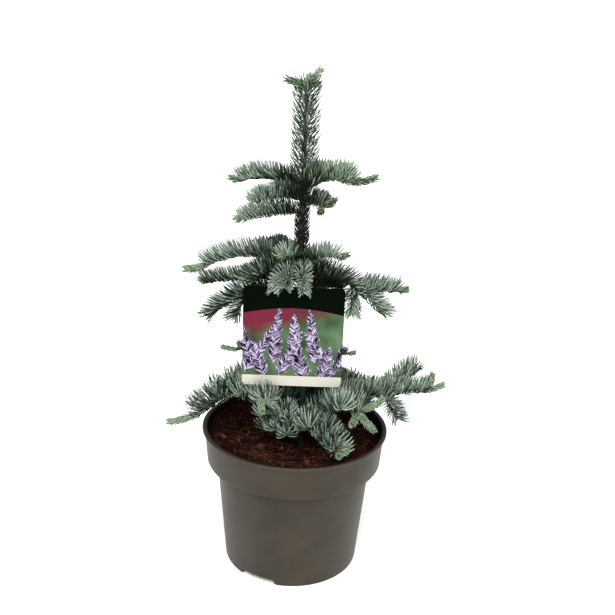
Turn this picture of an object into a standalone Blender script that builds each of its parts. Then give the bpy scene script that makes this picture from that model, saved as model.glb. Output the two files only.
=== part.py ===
"""A young blue noble fir in its nursery pot, with a plain picture label on a spike.

The tree is one straight trunk with whorls of boughs. Each bough ends where it enters
its mass: a stem with side shoots, from which coarse needles stand out. The pot is a
turned shell, and its filling is a solid of its own. Metres, +Z up, the photo's view
looks along +Y. The origin is the middle of the pot's underside.
"""

import math
import random
from collections import namedtuple

import bmesh
import bpy
import numpy as np
from mathutils import Matrix, Vector

NAME = "potted_blue_noble_fir"
CLEARANCE = 0.0003

# Pot: a turned shell with a rim, a collar, a tapering body and a foot ring.
POT_HEIGHT = 0.148
RIM_RADIUS = 0.095
RIM_LIP_DROP = 0.0026
COLLAR_TOP_RADIUS = 0.0924
COLLAR_FOOT_RADIUS = 0.0895
COLLAR_FOOT = 0.1120
BODY_TOP_RADIUS = 0.0795
FOOT_RADIUS = 0.0697
WALL = 0.0021
FOOT_DEPTH = 0.0080
FLOOR_THICKNESS = 0.0024
CENTRE_PAD_RADIUS = 0.020
POT_SEGMENTS = 48

# Drain notches through the foot ring: two, opposite each other.
NOTCH_AZIMUTHS = (-118.3, 61.7)
NOTCH_WIDTH = 0.037
NOTCH_HEIGHT = 0.0058

# Filling: it ends about 15 mm below the rim.
SOIL_EDGE = 0.1320
SOIL_TOP = 0.1330
SOIL_SWELL = 0.0018
TRUNK_SEAT_RADIUS = 0.012

# Label: one flat sheet, a card with a tapering spike that is pushed into the soil.
LABEL_PLANE = -0.0320
LABEL_MIDDLE = -0.0050
LABEL_WIDTH = 0.0965
LABEL_BOTTOM = 0.2050
LABEL_TOP = 0.3060
LABEL_CORNER = 0.0045
LABEL_THICKNESS = 0.0008
SPIKE_MIDDLE = 0.0065
SPIKE_TOP_WIDTH = 0.0050
SPIKE_FOOT_WIDTH = 0.0032
SPIKE_DEPTH = 0.022
SPIKE_POINT = 0.006

# Trunk: height above the pot's underside, and radius there.
TRUNK_BASE = SOIL_TOP + CLEARANCE
TRUNK_TIP = 0.4880
TRUNK_FLARE_RADIUS = 0.0072
TRUNK_FLARE_HEIGHT = 0.012
TRUNK_FOOT_RADIUS = 0.0050
TRUNK_TIP_RADIUS = 0.0013
TRUNK_RINGS = 12
TRUNK_RING_GROWTH = 1.15
FLARE_RING_SHARES = (0.35, 0.8)

# Boughs and twigs
BOUGH_ROOT_RADIUS = 0.0019
BOUGH_TIP_RADIUS = 0.0015
TWIG_ROOT_RADIUS = 0.0015
TWIG_TIP_RADIUS = 0.0009
TIP_RADIUS = 0.0016
TIP_FOOT_RADIUS = 0.0011
TIP_LIFT = 14.0
TIP_RISE = 32.0
SHOOT_SINK = 0.0008
SIDE_SLIMNESS = 0.85
SIDE_TURN_SPREAD = 4.0
SIDE_LENGTH_RANGE = (0.94, 1.06)
SIDE_DROOP = 12.0
SIDE_BEND_BACK = 0.35
PATH_STEP = 0.0095

# Leader and the sleeves of old needles on the trunk between its whorls: from, to, needle
# length, and the needle's angle from the trunk.
SLEEVE_WALL = 0.0011
SLEEVE_SIDES = 8
Sleeve = namedtuple("Sleeve", "name foot head needle angle")
SLEEVES = (
    Sleeve("leader_needles", 0.4020, 0.4790, 0.0175, 42),
    Sleeve("trunk_needles_upper", 0.3330, 0.3650, 0.0100, 50),
    Sleeve("trunk_needles_lower", 0.2560, 0.2860, 0.0100, 55),
)
# The shoots above the trunk's tip: azimuth, elevation, length, and where each leaves the
# first one.
LEADER_SHOOTS = ((8, 38, 0.018, 0.0), (182, 0, 0.023, 0.10), (-5, -14, 0.013, 0.16),
                 (-112, -22, 0.015, 0.12), (80, 16, 0.012, 0.14))
LEADER_NECK = 0.003
LEADER_SHOOT_RANGE = 0.020
LEADER_FIRST_BEND = 8.0
LEADER_BEND = 20.0

# Needles: longer low on the tree, shorter near its top.
NEEDLE_LOW_LENGTH = 0.0250
NEEDLE_LOW_HEIGHT = 0.160
NEEDLE_HIGH_LENGTH = 0.0170
NEEDLE_HIGH_HEIGHT = 0.330
NEEDLE_LEAN = 30.0
NEEDLE_LIFT = 0.30
NEEDLE_LOW_SIDE = -14.0
NEEDLE_WIDTH = 0.0034
NEEDLE_FLATNESS = 0.45
NEEDLE_FIRST = 0.0060
NEEDLE_SPACING = 0.0055
NEEDLE_END_GAP = 0.0004
END_SHARE = 0.80
HANG_LEAN = 18.0
HANG_SLOPE = 0.7
SLEEVE_SPACING = 0.0017
SLEEVE_BARE_END = 0.004
SLEEVE_ROOT_DEPTH = 0.00045
TIP_NEEDLE_LENGTH = 0.0060
TIP_NEEDLE_WIDTH = 0.0020
TIP_NEEDLE_LEAN = 48.0
TIP_NEEDLE_FIRST = 0.0030
TIP_NEEDLE_SPACING = 0.00504
GOLDEN = 0.6180339887
OWN_SPACE_GAP = 0.0006
RIM_MARGIN = 0.0030

COLOURS = {
    "pot": ((0.088, 0.083, 0.068), 0.55),
    "soil": ((0.022, 0.010, 0.006), 0.95),
    "bark": ((0.075, 0.060, 0.040), 0.85),
    "needles": ((0.065, 0.120, 0.105), 0.60),
    "new_shoots": ((0.110, 0.200, 0.120), 0.60),
    "label": ((0.120, 0.140, 0.110), 0.35),
}

# One row for each bough of the first order. Height on the trunk, azimuth (0 is +X, -90
# is the front), elevation where it starts and where its old wood ends, and length of the
# old wood. Then what differs: later is the growth past the old wood, as length and its
# two elevations; tip is the length of this year's shoots and tips their turns; fork is
# the share of the old wood at which the fan of side shoots leaves it, each with its
# turn, its lift and its length as a share of the old wood's; bare is the length of the
# bough before its mass begins; scale is the length of its needles against the rule's, and
# hang is how far its needles follow it, rather than stand upright, where it droops.
Bough = namedtuple(
    "Bough", "name height azimuth rise droop length later tip tips fork fan bare scale hang",
    defaults=((), 0.0, ((0, 0),), 0.5, (), 0.0, 1.0, 0.0))
PAIR = ((-44, 0, 0.40), (44, 0, 0.40))
BOUGHS = (
    Bough("top_right", 0.393, -15, 56, -22, 0.041, tip=0.031, tips=((0, 4),), fork=0.8, bare=0.006,
          fan=((48, 8, 0.32),)),
    Bough("top_front_right", 0.385, -50, -8, -4, 0.024, tip=0.021, tips=((0, 0), (-44, -30))),
    Bough("top_back_left", 0.395, 165, 28, -24, 0.060, tip=0.014),
    Bough("top_front_left", 0.386, -143, 12, -10, 0.050, tip=0.006),
    Bough("top_low_left", 0.371, -158, 6, -13, 0.055, tip=0.010, tips=((0, -14),)),
    Bough("top_back_right", 0.391, 62, 36, -2, 0.042, tip=0.008),
    Bough("top_back", 0.380, 112, 24, -18, 0.052, tip=0.014),
    Bough("middle_left", 0.316, -174, 34, -30, 0.090, tip=0.023, tips=((0, -12),), bare=0.018,
          scale=1.1),
    Bough("middle_low_left", 0.303, -165, 10, -6, 0.090, tip=0.005, bare=0.018),
    Bough("middle_down_left", 0.294, -160, 10, -6, 0.050, later=((0.040, -16, -42),), fork=0.95,
          fan=((44, -34, 0.55),), bare=0.018, scale=1.02, hang=0.8),
    Bough("middle_left_front", 0.3128, -144, 26, -26, 0.058, fork=0.4, fan=((-38, -12, 0.5),),
          hang=1.0),
    Bough("middle_front", 0.309, -122, 48, -56, 0.043, fork=0.45, fan=((34, -22, 0.5),),
          bare=0.014, hang=1.0),
    Bough("middle_upper_front", 0.328, -122, 26, -4, 0.026, tip=0.005),
    Bough("middle_front_right", 0.312, -84, 38, -56, 0.042, scale=0.9, hang=1.0),
    Bough("middle_upper_right", 0.322, -36, 38, 0, 0.038, tip=0.016, tips=((0, -8),)),
    Bough("middle_right", 0.305, -12, 30, -38, 0.056, later=((0.036, 2, 4),), tip=0.013,
          tips=((0, -22),), fork=0.93, fan=((-20, 8, 0.70), (-96, -14, 0.48)), bare=0.012,
          scale=1.02, hang=1.0),
    Bough("middle_back_right", 0.292, 40, 12, -14, 0.048, fan=PAIR, bare=0.016),
    Bough("middle_back", 0.298, 88, 16, -26, 0.086, tip=0.016, fan=PAIR, bare=0.018),
    Bough("middle_back_left", 0.313, 132, 22, -6, 0.054, fan=((-40, 0, 0.5),),
          scale=1.1),
    Bough("inner_left", 0.236, -176, -4, -6, 0.054, tip=0.019, tips=((0, -18),),
          scale=0.5),
    Bough("inner_right", 0.233, -6, -4, -4, 0.044, tip=0.011, tips=((0, -10),),
          scale=0.45),
    Bough("inner_back_right", 0.248, 64, 10, -12, 0.068, tip=0.014, fan=((44, 0, 0.4),)),
    Bough("inner_back_left", 0.243, 122, 10, -12, 0.068, tip=0.014, fan=((-44, 0, 0.4),)),
    Bough("low_left", 0.168, -171, 43, -47, 0.102, tip=0.033, fork=0.3, bare=0.020,
          fan=((-45, 0, 0.3), (40, 0, 0.3)), scale=1.14),
    Bough("low_front_left", 0.174, -136, 48, 8, 0.050, tip=0.021, fork=0.7,
          fan=((-50, -6, 0.5), (30, -30, 0.3)), tips=((58, -72), (96, -56)), bare=0.010),
    Bough("low_left_front", 0.168, -114, 26, -4, 0.034, fork=0.6, fan=((46, -8, 0.6), (-50, -8, 0.7)),
          scale=0.75, hang=0.6),
    Bough("low_front", 0.159, -116, 10, -10, 0.038, fan=((40, 0, 0.7), (-40, 0, 0.6)), scale=0.75,
          hang=0.6),
    Bough("low_right_front", 0.158, -60, 14, -16, 0.078, tip=0.009,
          tips=((-24, -16), (34, 0)), bare=0.014),
    Bough("low_front_right", 0.164, -34, 32, 2, 0.072, tip=0.028, bare=0.018, fork=0.55,
          fan=((-42, 10, 0.45), (38, 10, 0.4)), tips=((26, 2), (-22, -52), (-72, -36))),
    Bough("low_right", 0.1715, -10, 17, 10, 0.130, tip=0.018, fork=0.66, bare=0.020,
          tips=((0, -12), (40, 34)), fan=((-66, -34, 0.26), (40, 26, 0.30)), scale=0.85,
          hang=0.8),
    Bough("low_back_right", 0.168, 26, 14, -14, 0.084, fan=PAIR, bare=0.018),
    Bough("low_right_back", 0.162, 60, 18, -22, 0.090, fan=PAIR, bare=0.018),
    Bough("low_back", 0.174, 88, 22, -18, 0.108, tip=0.016, fan=PAIR, bare=0.018),
    Bough("low_back_left", 0.165, 118, 18, -22, 0.090, tip=0.014, fan=PAIR, bare=0.018),
)


def trunk_radius(height):
    """Radius of the trunk at a height: a straight taper with a flare at its foot."""
    share = (height - TRUNK_BASE) / (TRUNK_TIP - TRUNK_BASE)
    taper = TRUNK_FOOT_RADIUS + (TRUNK_TIP_RADIUS - TRUNK_FOOT_RADIUS) * share
    flare = max(0.0, 1.0 - (height - TRUNK_BASE) / TRUNK_FLARE_HEIGHT)
    return taper + (TRUNK_FLARE_RADIUS - TRUNK_FOOT_RADIUS) * flare ** 2


def heading(azimuth, elevation):
    """Unit vectors for azimuths and elevations in degrees."""
    azimuth, elevation = np.radians(azimuth), np.radians(elevation)
    return np.stack((np.cos(elevation) * np.cos(azimuth),
                     np.cos(elevation) * np.sin(azimuth),
                     np.sin(elevation)), axis=-1)


def shoot_path(start, azimuth, rise, droop, length, turn=0.0):
    """Points along a shoot whose elevation goes evenly from rise to droop."""
    steps = max(2, round(length / PATH_STEP))
    share = (np.arange(steps) + 0.5) / steps
    away = heading(azimuth + turn * share, rise + (droop - rise) * share) * (length / steps)
    return np.vstack((start, start + np.cumsum(away, axis=0)))


def arc_lengths(path):
    """Distance along a path at each of its points."""
    return np.concatenate(([0.0], np.cumsum(np.linalg.norm(np.diff(path, axis=0), axis=1))))


def cut_path(path, start, end):
    """The stretch of a path between two distances along it."""
    along = arc_lengths(path)
    inside = along[(along > start + 1e-4) & (along < end - 1e-4)]
    wanted = np.concatenate(([start], inside, [end]))
    return np.stack([np.interp(wanted, along, path[:, i]) for i in range(3)], axis=1)


def needle_length(height):
    """Needles get shorter up the tree, between two named heights."""
    return float(np.interp(height, (NEEDLE_LOW_HEIGHT, NEEDLE_HIGH_HEIGHT),
                           (NEEDLE_LOW_LENGTH, NEEDLE_HIGH_LENGTH)))


def grow_bough(bough):
    """A bough's bare limb, and its mass's shoots as (path, root radius, tip radius, new).

    The stem follows the old wood and the later growth. Side shoots leave it at the fork
    and bend back towards its direction, and this year's tips turn upwards at its end.
    Each starts a little inside the wood that bears it. Turns and lengths of the side shoots
    vary a little by a seeded rule.
    """
    rng = random.Random(bough.name)
    root_radius = BOUGH_ROOT_RADIUS if bough.bare else TWIG_ROOT_RADIUS
    lean = abs(math.sin(math.radians(bough.rise)))
    reach = trunk_radius(bough.height) + CLEARANCE + root_radius * lean
    start = heading(bough.azimuth, 0.0) * reach + (0.0, 0.0, bough.height)
    old = shoot_path(start, bough.azimuth, bough.rise, bough.droop, bough.length)
    stem, elevation = old, bough.droop
    for length, rise, droop in bough.later:
        more = shoot_path(stem[-1], bough.azimuth, rise, droop, length)
        stem, elevation = np.vstack((stem, more[1:])), droop
    limb = None
    if bough.bare:
        limb = cut_path(stem, 0.0, bough.bare)
        stem = cut_path(stem, bough.bare + CLEARANCE, arc_lengths(stem)[-1])
    shoots = [(stem, TWIG_ROOT_RADIUS, TWIG_TIP_RADIUS, False)]
    fork = old[min(round(bough.fork * (len(old) - 1)), len(old) - 1)]
    for turn, lift, share in bough.fan:
        turn += rng.uniform(-SIDE_TURN_SPREAD, SIDE_TURN_SPREAD)
        rise = bough.rise + (bough.droop - bough.rise) * bough.fork + lift
        length = bough.length * share * rng.uniform(*SIDE_LENGTH_RANGE)
        azimuth = bough.azimuth + turn
        foot = fork - heading(azimuth, rise) * SHOOT_SINK
        side = shoot_path(foot, azimuth, rise, rise - SIDE_DROOP, length, -SIDE_BEND_BACK * turn)
        shoots.append((side, TWIG_ROOT_RADIUS * SIDE_SLIMNESS, TWIG_TIP_RADIUS, False))
    if bough.tip:
        for turn, lift in bough.tips:
            rise = elevation + TIP_LIFT + lift
            azimuth = bough.azimuth + turn
            foot = stem[-1] - heading(azimuth, rise) * SHOOT_SINK
            tip = shoot_path(foot, azimuth, rise, rise + TIP_RISE, bough.tip)
            shoots.append((tip, TIP_FOOT_RADIUS, TIP_RADIUS, True))
    return limb, shoots


def grow_leader():
    """The shoots that stand on the trunk's tip, as a mass of new growth."""
    azimuth, elevation, length, _ = LEADER_SHOOTS[0]
    start = np.array((0.0, 0.0, TRUNK_TIP + CLEARANCE))
    foot = start + (0.0, 0.0, LEADER_NECK)
    stem = np.vstack((start, shoot_path(foot, azimuth, elevation, elevation + LEADER_FIRST_BEND, length)))
    shoots = [(stem, TRUNK_TIP_RADIUS, TIP_RADIUS, True)]
    for azimuth, elevation, length, share in LEADER_SHOOTS[1:]:
        root = start + (0.0, 0.0, share * LEADER_SHOOT_RANGE)
        shoots.append((shoot_path(root, azimuth, elevation, elevation + LEADER_BEND, length),
                       TIP_FOOT_RADIUS, TIP_RADIUS, True))
    return shoots


def frames(path):
    """At each step of a path: its middle, tangent, level side and upward normal."""
    steps = np.diff(path, axis=0)
    tangent = steps / np.linalg.norm(steps, axis=1)[:, None]
    side = np.cross(tangent, (0.0, 0.0, 1.0))
    short = np.linalg.norm(side, axis=1) < 1e-3
    side[short] = (1.0, 0.0, 0.0)
    side /= np.linalg.norm(side, axis=1)[:, None]
    return tangent, side, np.cross(side, tangent)


def shoot_needles(path, new, scale, hang):
    """Needles of one shoot as (root, direction, length, width), placed by a golden spiral.

    On old wood they stand out at the sides and above, and sweep upwards, or follow the
    shoot where a hanging one droops; on this year's tips they stand all round, short and
    close to the shoot.
    """
    along = arc_lengths(path)
    tangent, side, up = frames(path)
    spacing = TIP_NEEDLE_SPACING if new else NEEDLE_SPACING
    first = TIP_NEEDLE_FIRST if new else NEEDLE_FIRST
    count = int(max(0.0, along[-1] - first) / spacing) + 1
    needles = []
    for i in range(count):
        distance = min(first + i * spacing, along[-1] - NEEDLE_END_GAP)
        step = min(int(np.searchsorted(along, distance, side="right")) - 1, len(tangent) - 1)
        root = path[step] + tangent[step] * (distance - along[step])
        turn = (i * GOLDEN) % 1.0
        if new:
            around, lean, width = 2 * math.pi * turn, TIP_NEEDLE_LEAN, TIP_NEEDLE_WIDTH
            length, lift = TIP_NEEDLE_LENGTH, 0.0
        else:
            droop = hang * min(1.0, max(0.0, -tangent[step][2] / HANG_SLOPE))
            around = math.radians(NEEDLE_LOW_SIDE + (180.0 - 2 * NEEDLE_LOW_SIDE) * turn)
            lean, lift, width = NEEDLE_LEAN + HANG_LEAN * droop, NEEDLE_LIFT * (1 - droop), NEEDLE_WIDTH
            swell = END_SHARE + (1 - END_SHARE) * math.sin(math.pi * distance / along[-1])
            length = needle_length(root[2]) * scale * swell
        out = side[step] * math.cos(around) + up[step] * math.sin(around)
        lean = math.radians(lean)
        direction = out * math.cos(lean) + tangent[step] * math.sin(lean) + (0.0, 0.0, lift)
        direction /= np.linalg.norm(direction)
        needles.append((root, direction, length, width))
    return needles


def sleeve_needles(sleeve):
    """Needles that stand out of a sleeve round the trunk, by the same golden spiral."""
    count = int((sleeve.head - sleeve.foot - 2 * SLEEVE_BARE_END) / SLEEVE_SPACING)
    angle = math.radians(sleeve.angle)
    needles = []
    for i in range(count):
        height = sleeve.foot + SLEEVE_BARE_END + i * SLEEVE_SPACING
        out = heading(360.0 * ((i * GOLDEN) % 1.0), 0.0)
        outer = sleeve_radii(height)[1]
        root = out * (outer * math.cos(math.pi / SLEEVE_SIDES) - SLEEVE_ROOT_DEPTH)
        root[2] = height
        direction = out * math.sin(angle) + np.array((0.0, 0.0, math.cos(angle)))
        needles.append((root, direction, sleeve.needle, TIP_NEEDLE_WIDTH))
    return needles


def sleeve_radii(height):
    """Inner and outer corner radius of a sleeve, so that its flats clear the trunk."""
    inner = (trunk_radius(height) + CLEARANCE) / math.cos(math.pi / SLEEVE_SIDES)
    return inner, inner + SLEEVE_WALL


def dense(path, radius_a, radius_b):
    """Points every millimetre or so along a path, with the radius at each."""
    along = arc_lengths(path)
    wanted = np.linspace(0.0, along[-1], max(2, int(along[-1] / 0.0012)))
    points = np.stack([np.interp(wanted, along, path[:, i]) for i in range(3)], axis=1)
    return points, np.interp(wanted, (0.0, along[-1]), (radius_a, radius_b))


class Space:
    """The skeleton of every mass and limb, which tells a needle whether it has room."""

    def __init__(self):
        self.points, self.radii, self.owner, self.leafy = [], [], [], []

    def add(self, owner, path, radius_a, radius_b, leafy):
        points, radii = dense(path, radius_a, radius_b)
        self.points.append(points)
        self.radii.append(radii)
        self.owner.append(np.full(len(points), owner))
        self.leafy.append(np.full(len(points), leafy))

    def close(self):
        self.points = np.vstack(self.points)
        self.radii = np.concatenate(self.radii)
        self.owner = np.concatenate(self.owner)
        self.leafy = np.concatenate(self.leafy)

    def has_room(self, owner, root, direction, length, width):
        """Whether a needle keeps to its mass's own space and clear of everything else."""
        shares = np.array((0.12, 0.3, 0.5, 0.7, 0.85, 1.0))
        samples = root + direction * (length * shares)[:, None]
        half = 0.5 * width * (1.0 - shares)
        gaps = np.linalg.norm(samples[:, None, :] - self.points[None, :, :], axis=2)
        other = self.owner != owner
        if np.any(gaps[:, other] - self.radii[other] < half[:, None] + OWN_SPACE_GAP):
            return False
        own = gaps[:, ~other].min(axis=1)
        theirs = gaps[:, other & self.leafy].min(axis=1)
        if np.any((theirs - own)[1:] * 0.5 < half[1:] + 0.5 * OWN_SPACE_GAP):
            return False
        return clear_of_pot(samples) and clear_of_label(root, samples[-1])


def clear_of_pot(samples):
    """Whether points stay above the soil and off the rim."""
    reach = np.hypot(samples[:, 0], samples[:, 1])
    over_rim = reach > COLLAR_TOP_RADIUS - 0.008
    floor = np.where(over_rim, POT_HEIGHT + RIM_MARGIN, SOIL_TOP + SOIL_SWELL + RIM_MARGIN)
    return bool(np.all(samples[:, 2] > floor))


def clear_of_label(root, tip):
    """Whether a needle stays off the label's card and spike."""
    margin = NEEDLE_WIDTH
    low, high = sorted((root[1], tip[1]))
    if high < LABEL_PLANE - margin or low > LABEL_PLANE + margin:
        return True
    for share in np.linspace(0.0, 1.0, 9):
        point = root + (tip - root) * share
        if abs(point[1] - LABEL_PLANE) > margin + 0.002:
            continue
        on_card = abs(point[0] - LABEL_MIDDLE) < LABEL_WIDTH / 2 + margin
        on_spike = abs(point[0] - SPIKE_MIDDLE) < SPIKE_TOP_WIDTH / 2 + margin
        if LABEL_BOTTOM - margin < point[2] < LABEL_TOP + margin and on_card:
            return False
        if point[2] <= LABEL_BOTTOM and on_spike:
            return False
    return True


def clear_scene():
    """Remove every object that the file holds."""
    for obj in list(bpy.data.objects):
        bpy.data.objects.remove(obj, do_unlink=True)


def make_collection(name):
    collection = bpy.data.collections.new(name)
    bpy.context.scene.collection.children.link(collection)
    return collection


def make_material(name):
    """A Principled material in the sub-part's own colour."""
    colour, roughness = COLOURS[name]
    material = bpy.data.materials.new(name)
    material.use_nodes = True
    shader = material.node_tree.nodes["Principled BSDF"]
    shader.inputs["Base Color"].default_value = (*colour, 1.0)
    shader.inputs["Roughness"].default_value = roughness
    return material


def add_object(name, mesh, collection, material=None):
    obj = bpy.data.objects.new(name, mesh)
    collection.objects.link(obj)
    if material is not None:
        mesh.materials.clear()
        mesh.materials.append(material)
    return obj


def evaluated_mesh(obj):
    """The mesh of an object with its modifiers applied."""
    depsgraph = bpy.context.evaluated_depsgraph_get()
    depsgraph.update()
    return bpy.data.meshes.new_from_object(obj.evaluated_get(depsgraph))


def weld(mesh):
    """Merge coincident points and turn the faces outwards."""
    work = bmesh.new()
    work.from_mesh(mesh)
    bmesh.ops.remove_doubles(work, verts=work.verts, dist=2e-6)
    bmesh.ops.recalc_face_normals(work, faces=work.faces)
    work.to_mesh(mesh)
    work.free()
    return mesh


def turned(name, profile, segments, collection, material, closed=False):
    """A solid turned round Z from its profile of (radius, height) points."""
    mesh = bpy.data.meshes.new(name)
    count = len(profile)
    edges = [(i, i + 1) for i in range(count - 1)]
    if closed:
        edges.append((count - 1, 0))
    mesh.from_pydata([(radius, 0.0, height) for radius, height in profile], edges, [])
    obj = add_object(name, mesh, collection, material)
    screw = obj.modifiers.new("turn", "SCREW")
    screw.angle = 2 * math.pi
    screw.steps = segments
    screw.render_steps = segments
    screw.use_merge_vertices = True
    screw.merge_threshold = 1e-6
    screw.use_smooth_shade = False
    return obj


def tube_mesh(path, radii, resolution):
    """A tapering tube with filled ends along a path."""
    curve = bpy.data.curves.new("limb", "CURVE")
    curve.dimensions = "3D"
    curve.bevel_depth = 1.0
    curve.bevel_resolution = resolution
    curve.use_fill_caps = True
    spline = curve.splines.new("POLY")
    spline.points.add(len(path) - 1)
    for point, place, radius in zip(spline.points, path, radii):
        point.co = (*place, 1.0)
        point.radius = radius
    obj = bpy.data.objects.new("limb", curve)
    bpy.context.scene.collection.objects.link(obj)
    mesh = weld(evaluated_mesh(obj))
    bpy.data.objects.remove(obj, do_unlink=True)
    bpy.data.curves.remove(curve)
    return mesh


def shoot_mesh(path, root_radius, tip_radius):
    share = arc_lengths(path) / arc_lengths(path)[-1]
    return tube_mesh(path, root_radius + (tip_radius - root_radius) * share, 0)


def needle_mesh(root, direction, length, width):
    """One coarse needle: a flattened three-sided cone with its foot in the shoot."""
    along = Vector(direction)
    across = along.cross(Vector((0.0, 0.0, 1.0)))
    if across.length < 1e-3:
        across = Vector((1.0, 0.0, 0.0))
    across.normalize()
    thin = along.cross(across)
    turn = Matrix((across, thin, along)).transposed().to_4x4()
    squash = Matrix.Diagonal((1.0, NEEDLE_FLATNESS, 1.0, 1.0))
    lift = Matrix.Translation((0.0, 0.0, length / 2))
    work = bmesh.new()
    bmesh.ops.create_cone(work, cap_ends=True, cap_tris=False, segments=3, depth=length,
                          radius1=width / 2, radius2=0.0,
                          matrix=Matrix.Translation(Vector(root)) @ turn @ squash @ lift)
    bmesh.ops.remove_doubles(work, verts=work.verts, dist=1e-6)
    mesh = bpy.data.meshes.new("needle")
    work.to_mesh(mesh)
    work.free()
    return mesh


def largest_body(mesh):
    """Keep only the biggest connected piece, so that no scrap stays loose."""
    work = bmesh.new()
    work.from_mesh(mesh)
    seen, groups = set(), []
    for first in work.verts:
        if first in seen:
            continue
        seen.add(first)
        group, todo = [first], [first]
        while todo:
            for edge in todo.pop().link_edges:
                for vert in edge.verts:
                    if vert not in seen:
                        seen.add(vert)
                        group.append(vert)
                        todo.append(vert)
        groups.append(group)
    groups.sort(key=len)
    loose = [vert for group in groups[:-1] for vert in group]
    bmesh.ops.delete(work, geom=loose, context="VERTS")
    work.to_mesh(mesh)
    work.free()
    return len(groups) - 1


def join_mass(name, first, others, collection, material):
    """Fuse a mass: one Boolean union of its first stem with a collection of the rest."""
    base = add_object(name, first, collection, material)
    if others:
        pieces = make_collection(name + "_pieces")
        for i, mesh in enumerate(others):
            add_object(f"{name}_piece_{i}", mesh, pieces)
        union = base.modifiers.new("join", "BOOLEAN")
        union.operation = "UNION"
        union.solver = "EXACT"
        union.operand_type = "COLLECTION"
        union.collection = pieces
        fused = evaluated_mesh(base)
        base.modifiers.clear()
        for obj in list(pieces.objects):
            bpy.data.objects.remove(obj, do_unlink=True)
        bpy.data.collections.remove(pieces)
        base.data = fused
        base.data.name = name
        fused.materials.clear()
        fused.materials.append(material)
    scraps = largest_body(base.data)
    print(name, "triangles", sum(len(p.vertices) - 2 for p in base.data.polygons), "scraps", scraps)
    return base


def make_pot(collection, cutters, material):
    """The shell: inner floor and wall, rim, collar, body, foot ring and centre pad."""
    floor_top = FOOT_DEPTH + FLOOR_THICKNESS
    body_slope = (BODY_TOP_RADIUS - FOOT_RADIUS) / COLLAR_FOOT
    profile = [
        (0.0, floor_top),
        (FOOT_RADIUS + body_slope * floor_top - WALL, floor_top),
        (BODY_TOP_RADIUS - WALL, COLLAR_FOOT + 0.0010),
        (COLLAR_FOOT_RADIUS - WALL - 0.0006, COLLAR_FOOT + 0.0030),
        (COLLAR_TOP_RADIUS - WALL, POT_HEIGHT - 0.0004),
        (COLLAR_TOP_RADIUS - WALL + 0.0006, POT_HEIGHT),
        (RIM_RADIUS - 0.0006, POT_HEIGHT),
        (RIM_RADIUS, POT_HEIGHT - 0.0006),
        (RIM_RADIUS, POT_HEIGHT - RIM_LIP_DROP + 0.0004),
        (RIM_RADIUS - 0.0006, POT_HEIGHT - RIM_LIP_DROP),
        (COLLAR_TOP_RADIUS, POT_HEIGHT - RIM_LIP_DROP - 0.0008),
        (COLLAR_FOOT_RADIUS + 0.0003, COLLAR_FOOT + 0.0014),
        (COLLAR_FOOT_RADIUS - 0.0010, COLLAR_FOOT),
        (BODY_TOP_RADIUS + 0.0012, COLLAR_FOOT - 0.0006),
        (BODY_TOP_RADIUS, COLLAR_FOOT - 0.0022),
        (FOOT_RADIUS + body_slope * 0.004, 0.004),
        (FOOT_RADIUS - 0.0005, 0.0),
        (FOOT_RADIUS - 0.0036, 0.0),
        (FOOT_RADIUS - 0.0042, FOOT_DEPTH),
        (CENTRE_PAD_RADIUS + 0.0015, FOOT_DEPTH),
        (CENTRE_PAD_RADIUS, 0.0),
        (0.0, 0.0),
    ]
    pot = turned("pot", profile, POT_SEGMENTS, collection, material)
    for i, azimuth in enumerate(NOTCH_AZIMUTHS):
        place = heading(azimuth, 0.0) * FOOT_RADIUS
        turn = Matrix.Rotation(math.radians(azimuth), 4, "Z")
        size = Matrix.Diagonal((0.020, NOTCH_WIDTH, 2 * NOTCH_HEIGHT, 1.0))
        work = bmesh.new()
        bmesh.ops.create_cube(work, size=1.0, matrix=Matrix.Translation(place) @ turn @ size)
        mesh = bpy.data.meshes.new(f"notch_{i}")
        work.to_mesh(mesh)
        work.free()
        cutter = add_object(f"notch_{i}", mesh, cutters)
        cutter.hide_render = True
        cutter.display_type = "WIRE"
        cut = pot.modifiers.new(f"notch_{i}", "BOOLEAN")
        cut.operation = "DIFFERENCE"
        cut.object = cutter
    return pot


def make_soil(collection, cutters, material):
    """The filling: it follows the pot's inside and ends in a gently swelling top."""
    floor = FOOT_DEPTH + FLOOR_THICKNESS + CLEARANCE
    body_slope = (BODY_TOP_RADIUS - FOOT_RADIUS) / COLLAR_FOOT
    wall = WALL + CLEARANCE
    collar_slope = (COLLAR_TOP_RADIUS - COLLAR_FOOT_RADIUS) / (POT_HEIGHT - COLLAR_FOOT)
    edge = COLLAR_FOOT_RADIUS - wall - 0.0009 + collar_slope * (SOIL_EDGE - COLLAR_FOOT - 0.0030)
    profile = [
        (0.0, SOIL_TOP),
        (TRUNK_SEAT_RADIUS, SOIL_TOP),
        (0.040, SOIL_TOP + SOIL_SWELL),
        (0.066, SOIL_TOP + SOIL_SWELL * 0.8),
        (edge, SOIL_EDGE),
        (COLLAR_FOOT_RADIUS - wall - 0.0009, COLLAR_FOOT + 0.0036),
        (BODY_TOP_RADIUS - wall, COLLAR_FOOT + 0.0014),
        (FOOT_RADIUS + body_slope * floor - wall, floor),
        (0.0, floor),
    ]
    soil = turned("soil", profile, POT_SEGMENTS, collection, material)
    slot = label_mesh("spike_slot", LABEL_THICKNESS + 2 * CLEARANCE, CLEARANCE, spike_only=True)
    cutter = add_object("spike_slot", slot, cutters)
    cutter.hide_render = True
    cutter.display_type = "WIRE"
    cut = soil.modifiers.new("spike_slot", "BOOLEAN")
    cut.operation = "DIFFERENCE"
    cut.object = cutter
    return soil


def corner(centre_x, centre_z, start, radius, steps=4):
    """Points of a rounded corner, a quarter turn from the angle start."""
    angles = [math.radians(start + 90.0 * i / steps) for i in range(steps + 1)]
    return [(centre_x + radius * math.cos(a), centre_z + radius * math.sin(a)) for a in angles]


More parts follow.
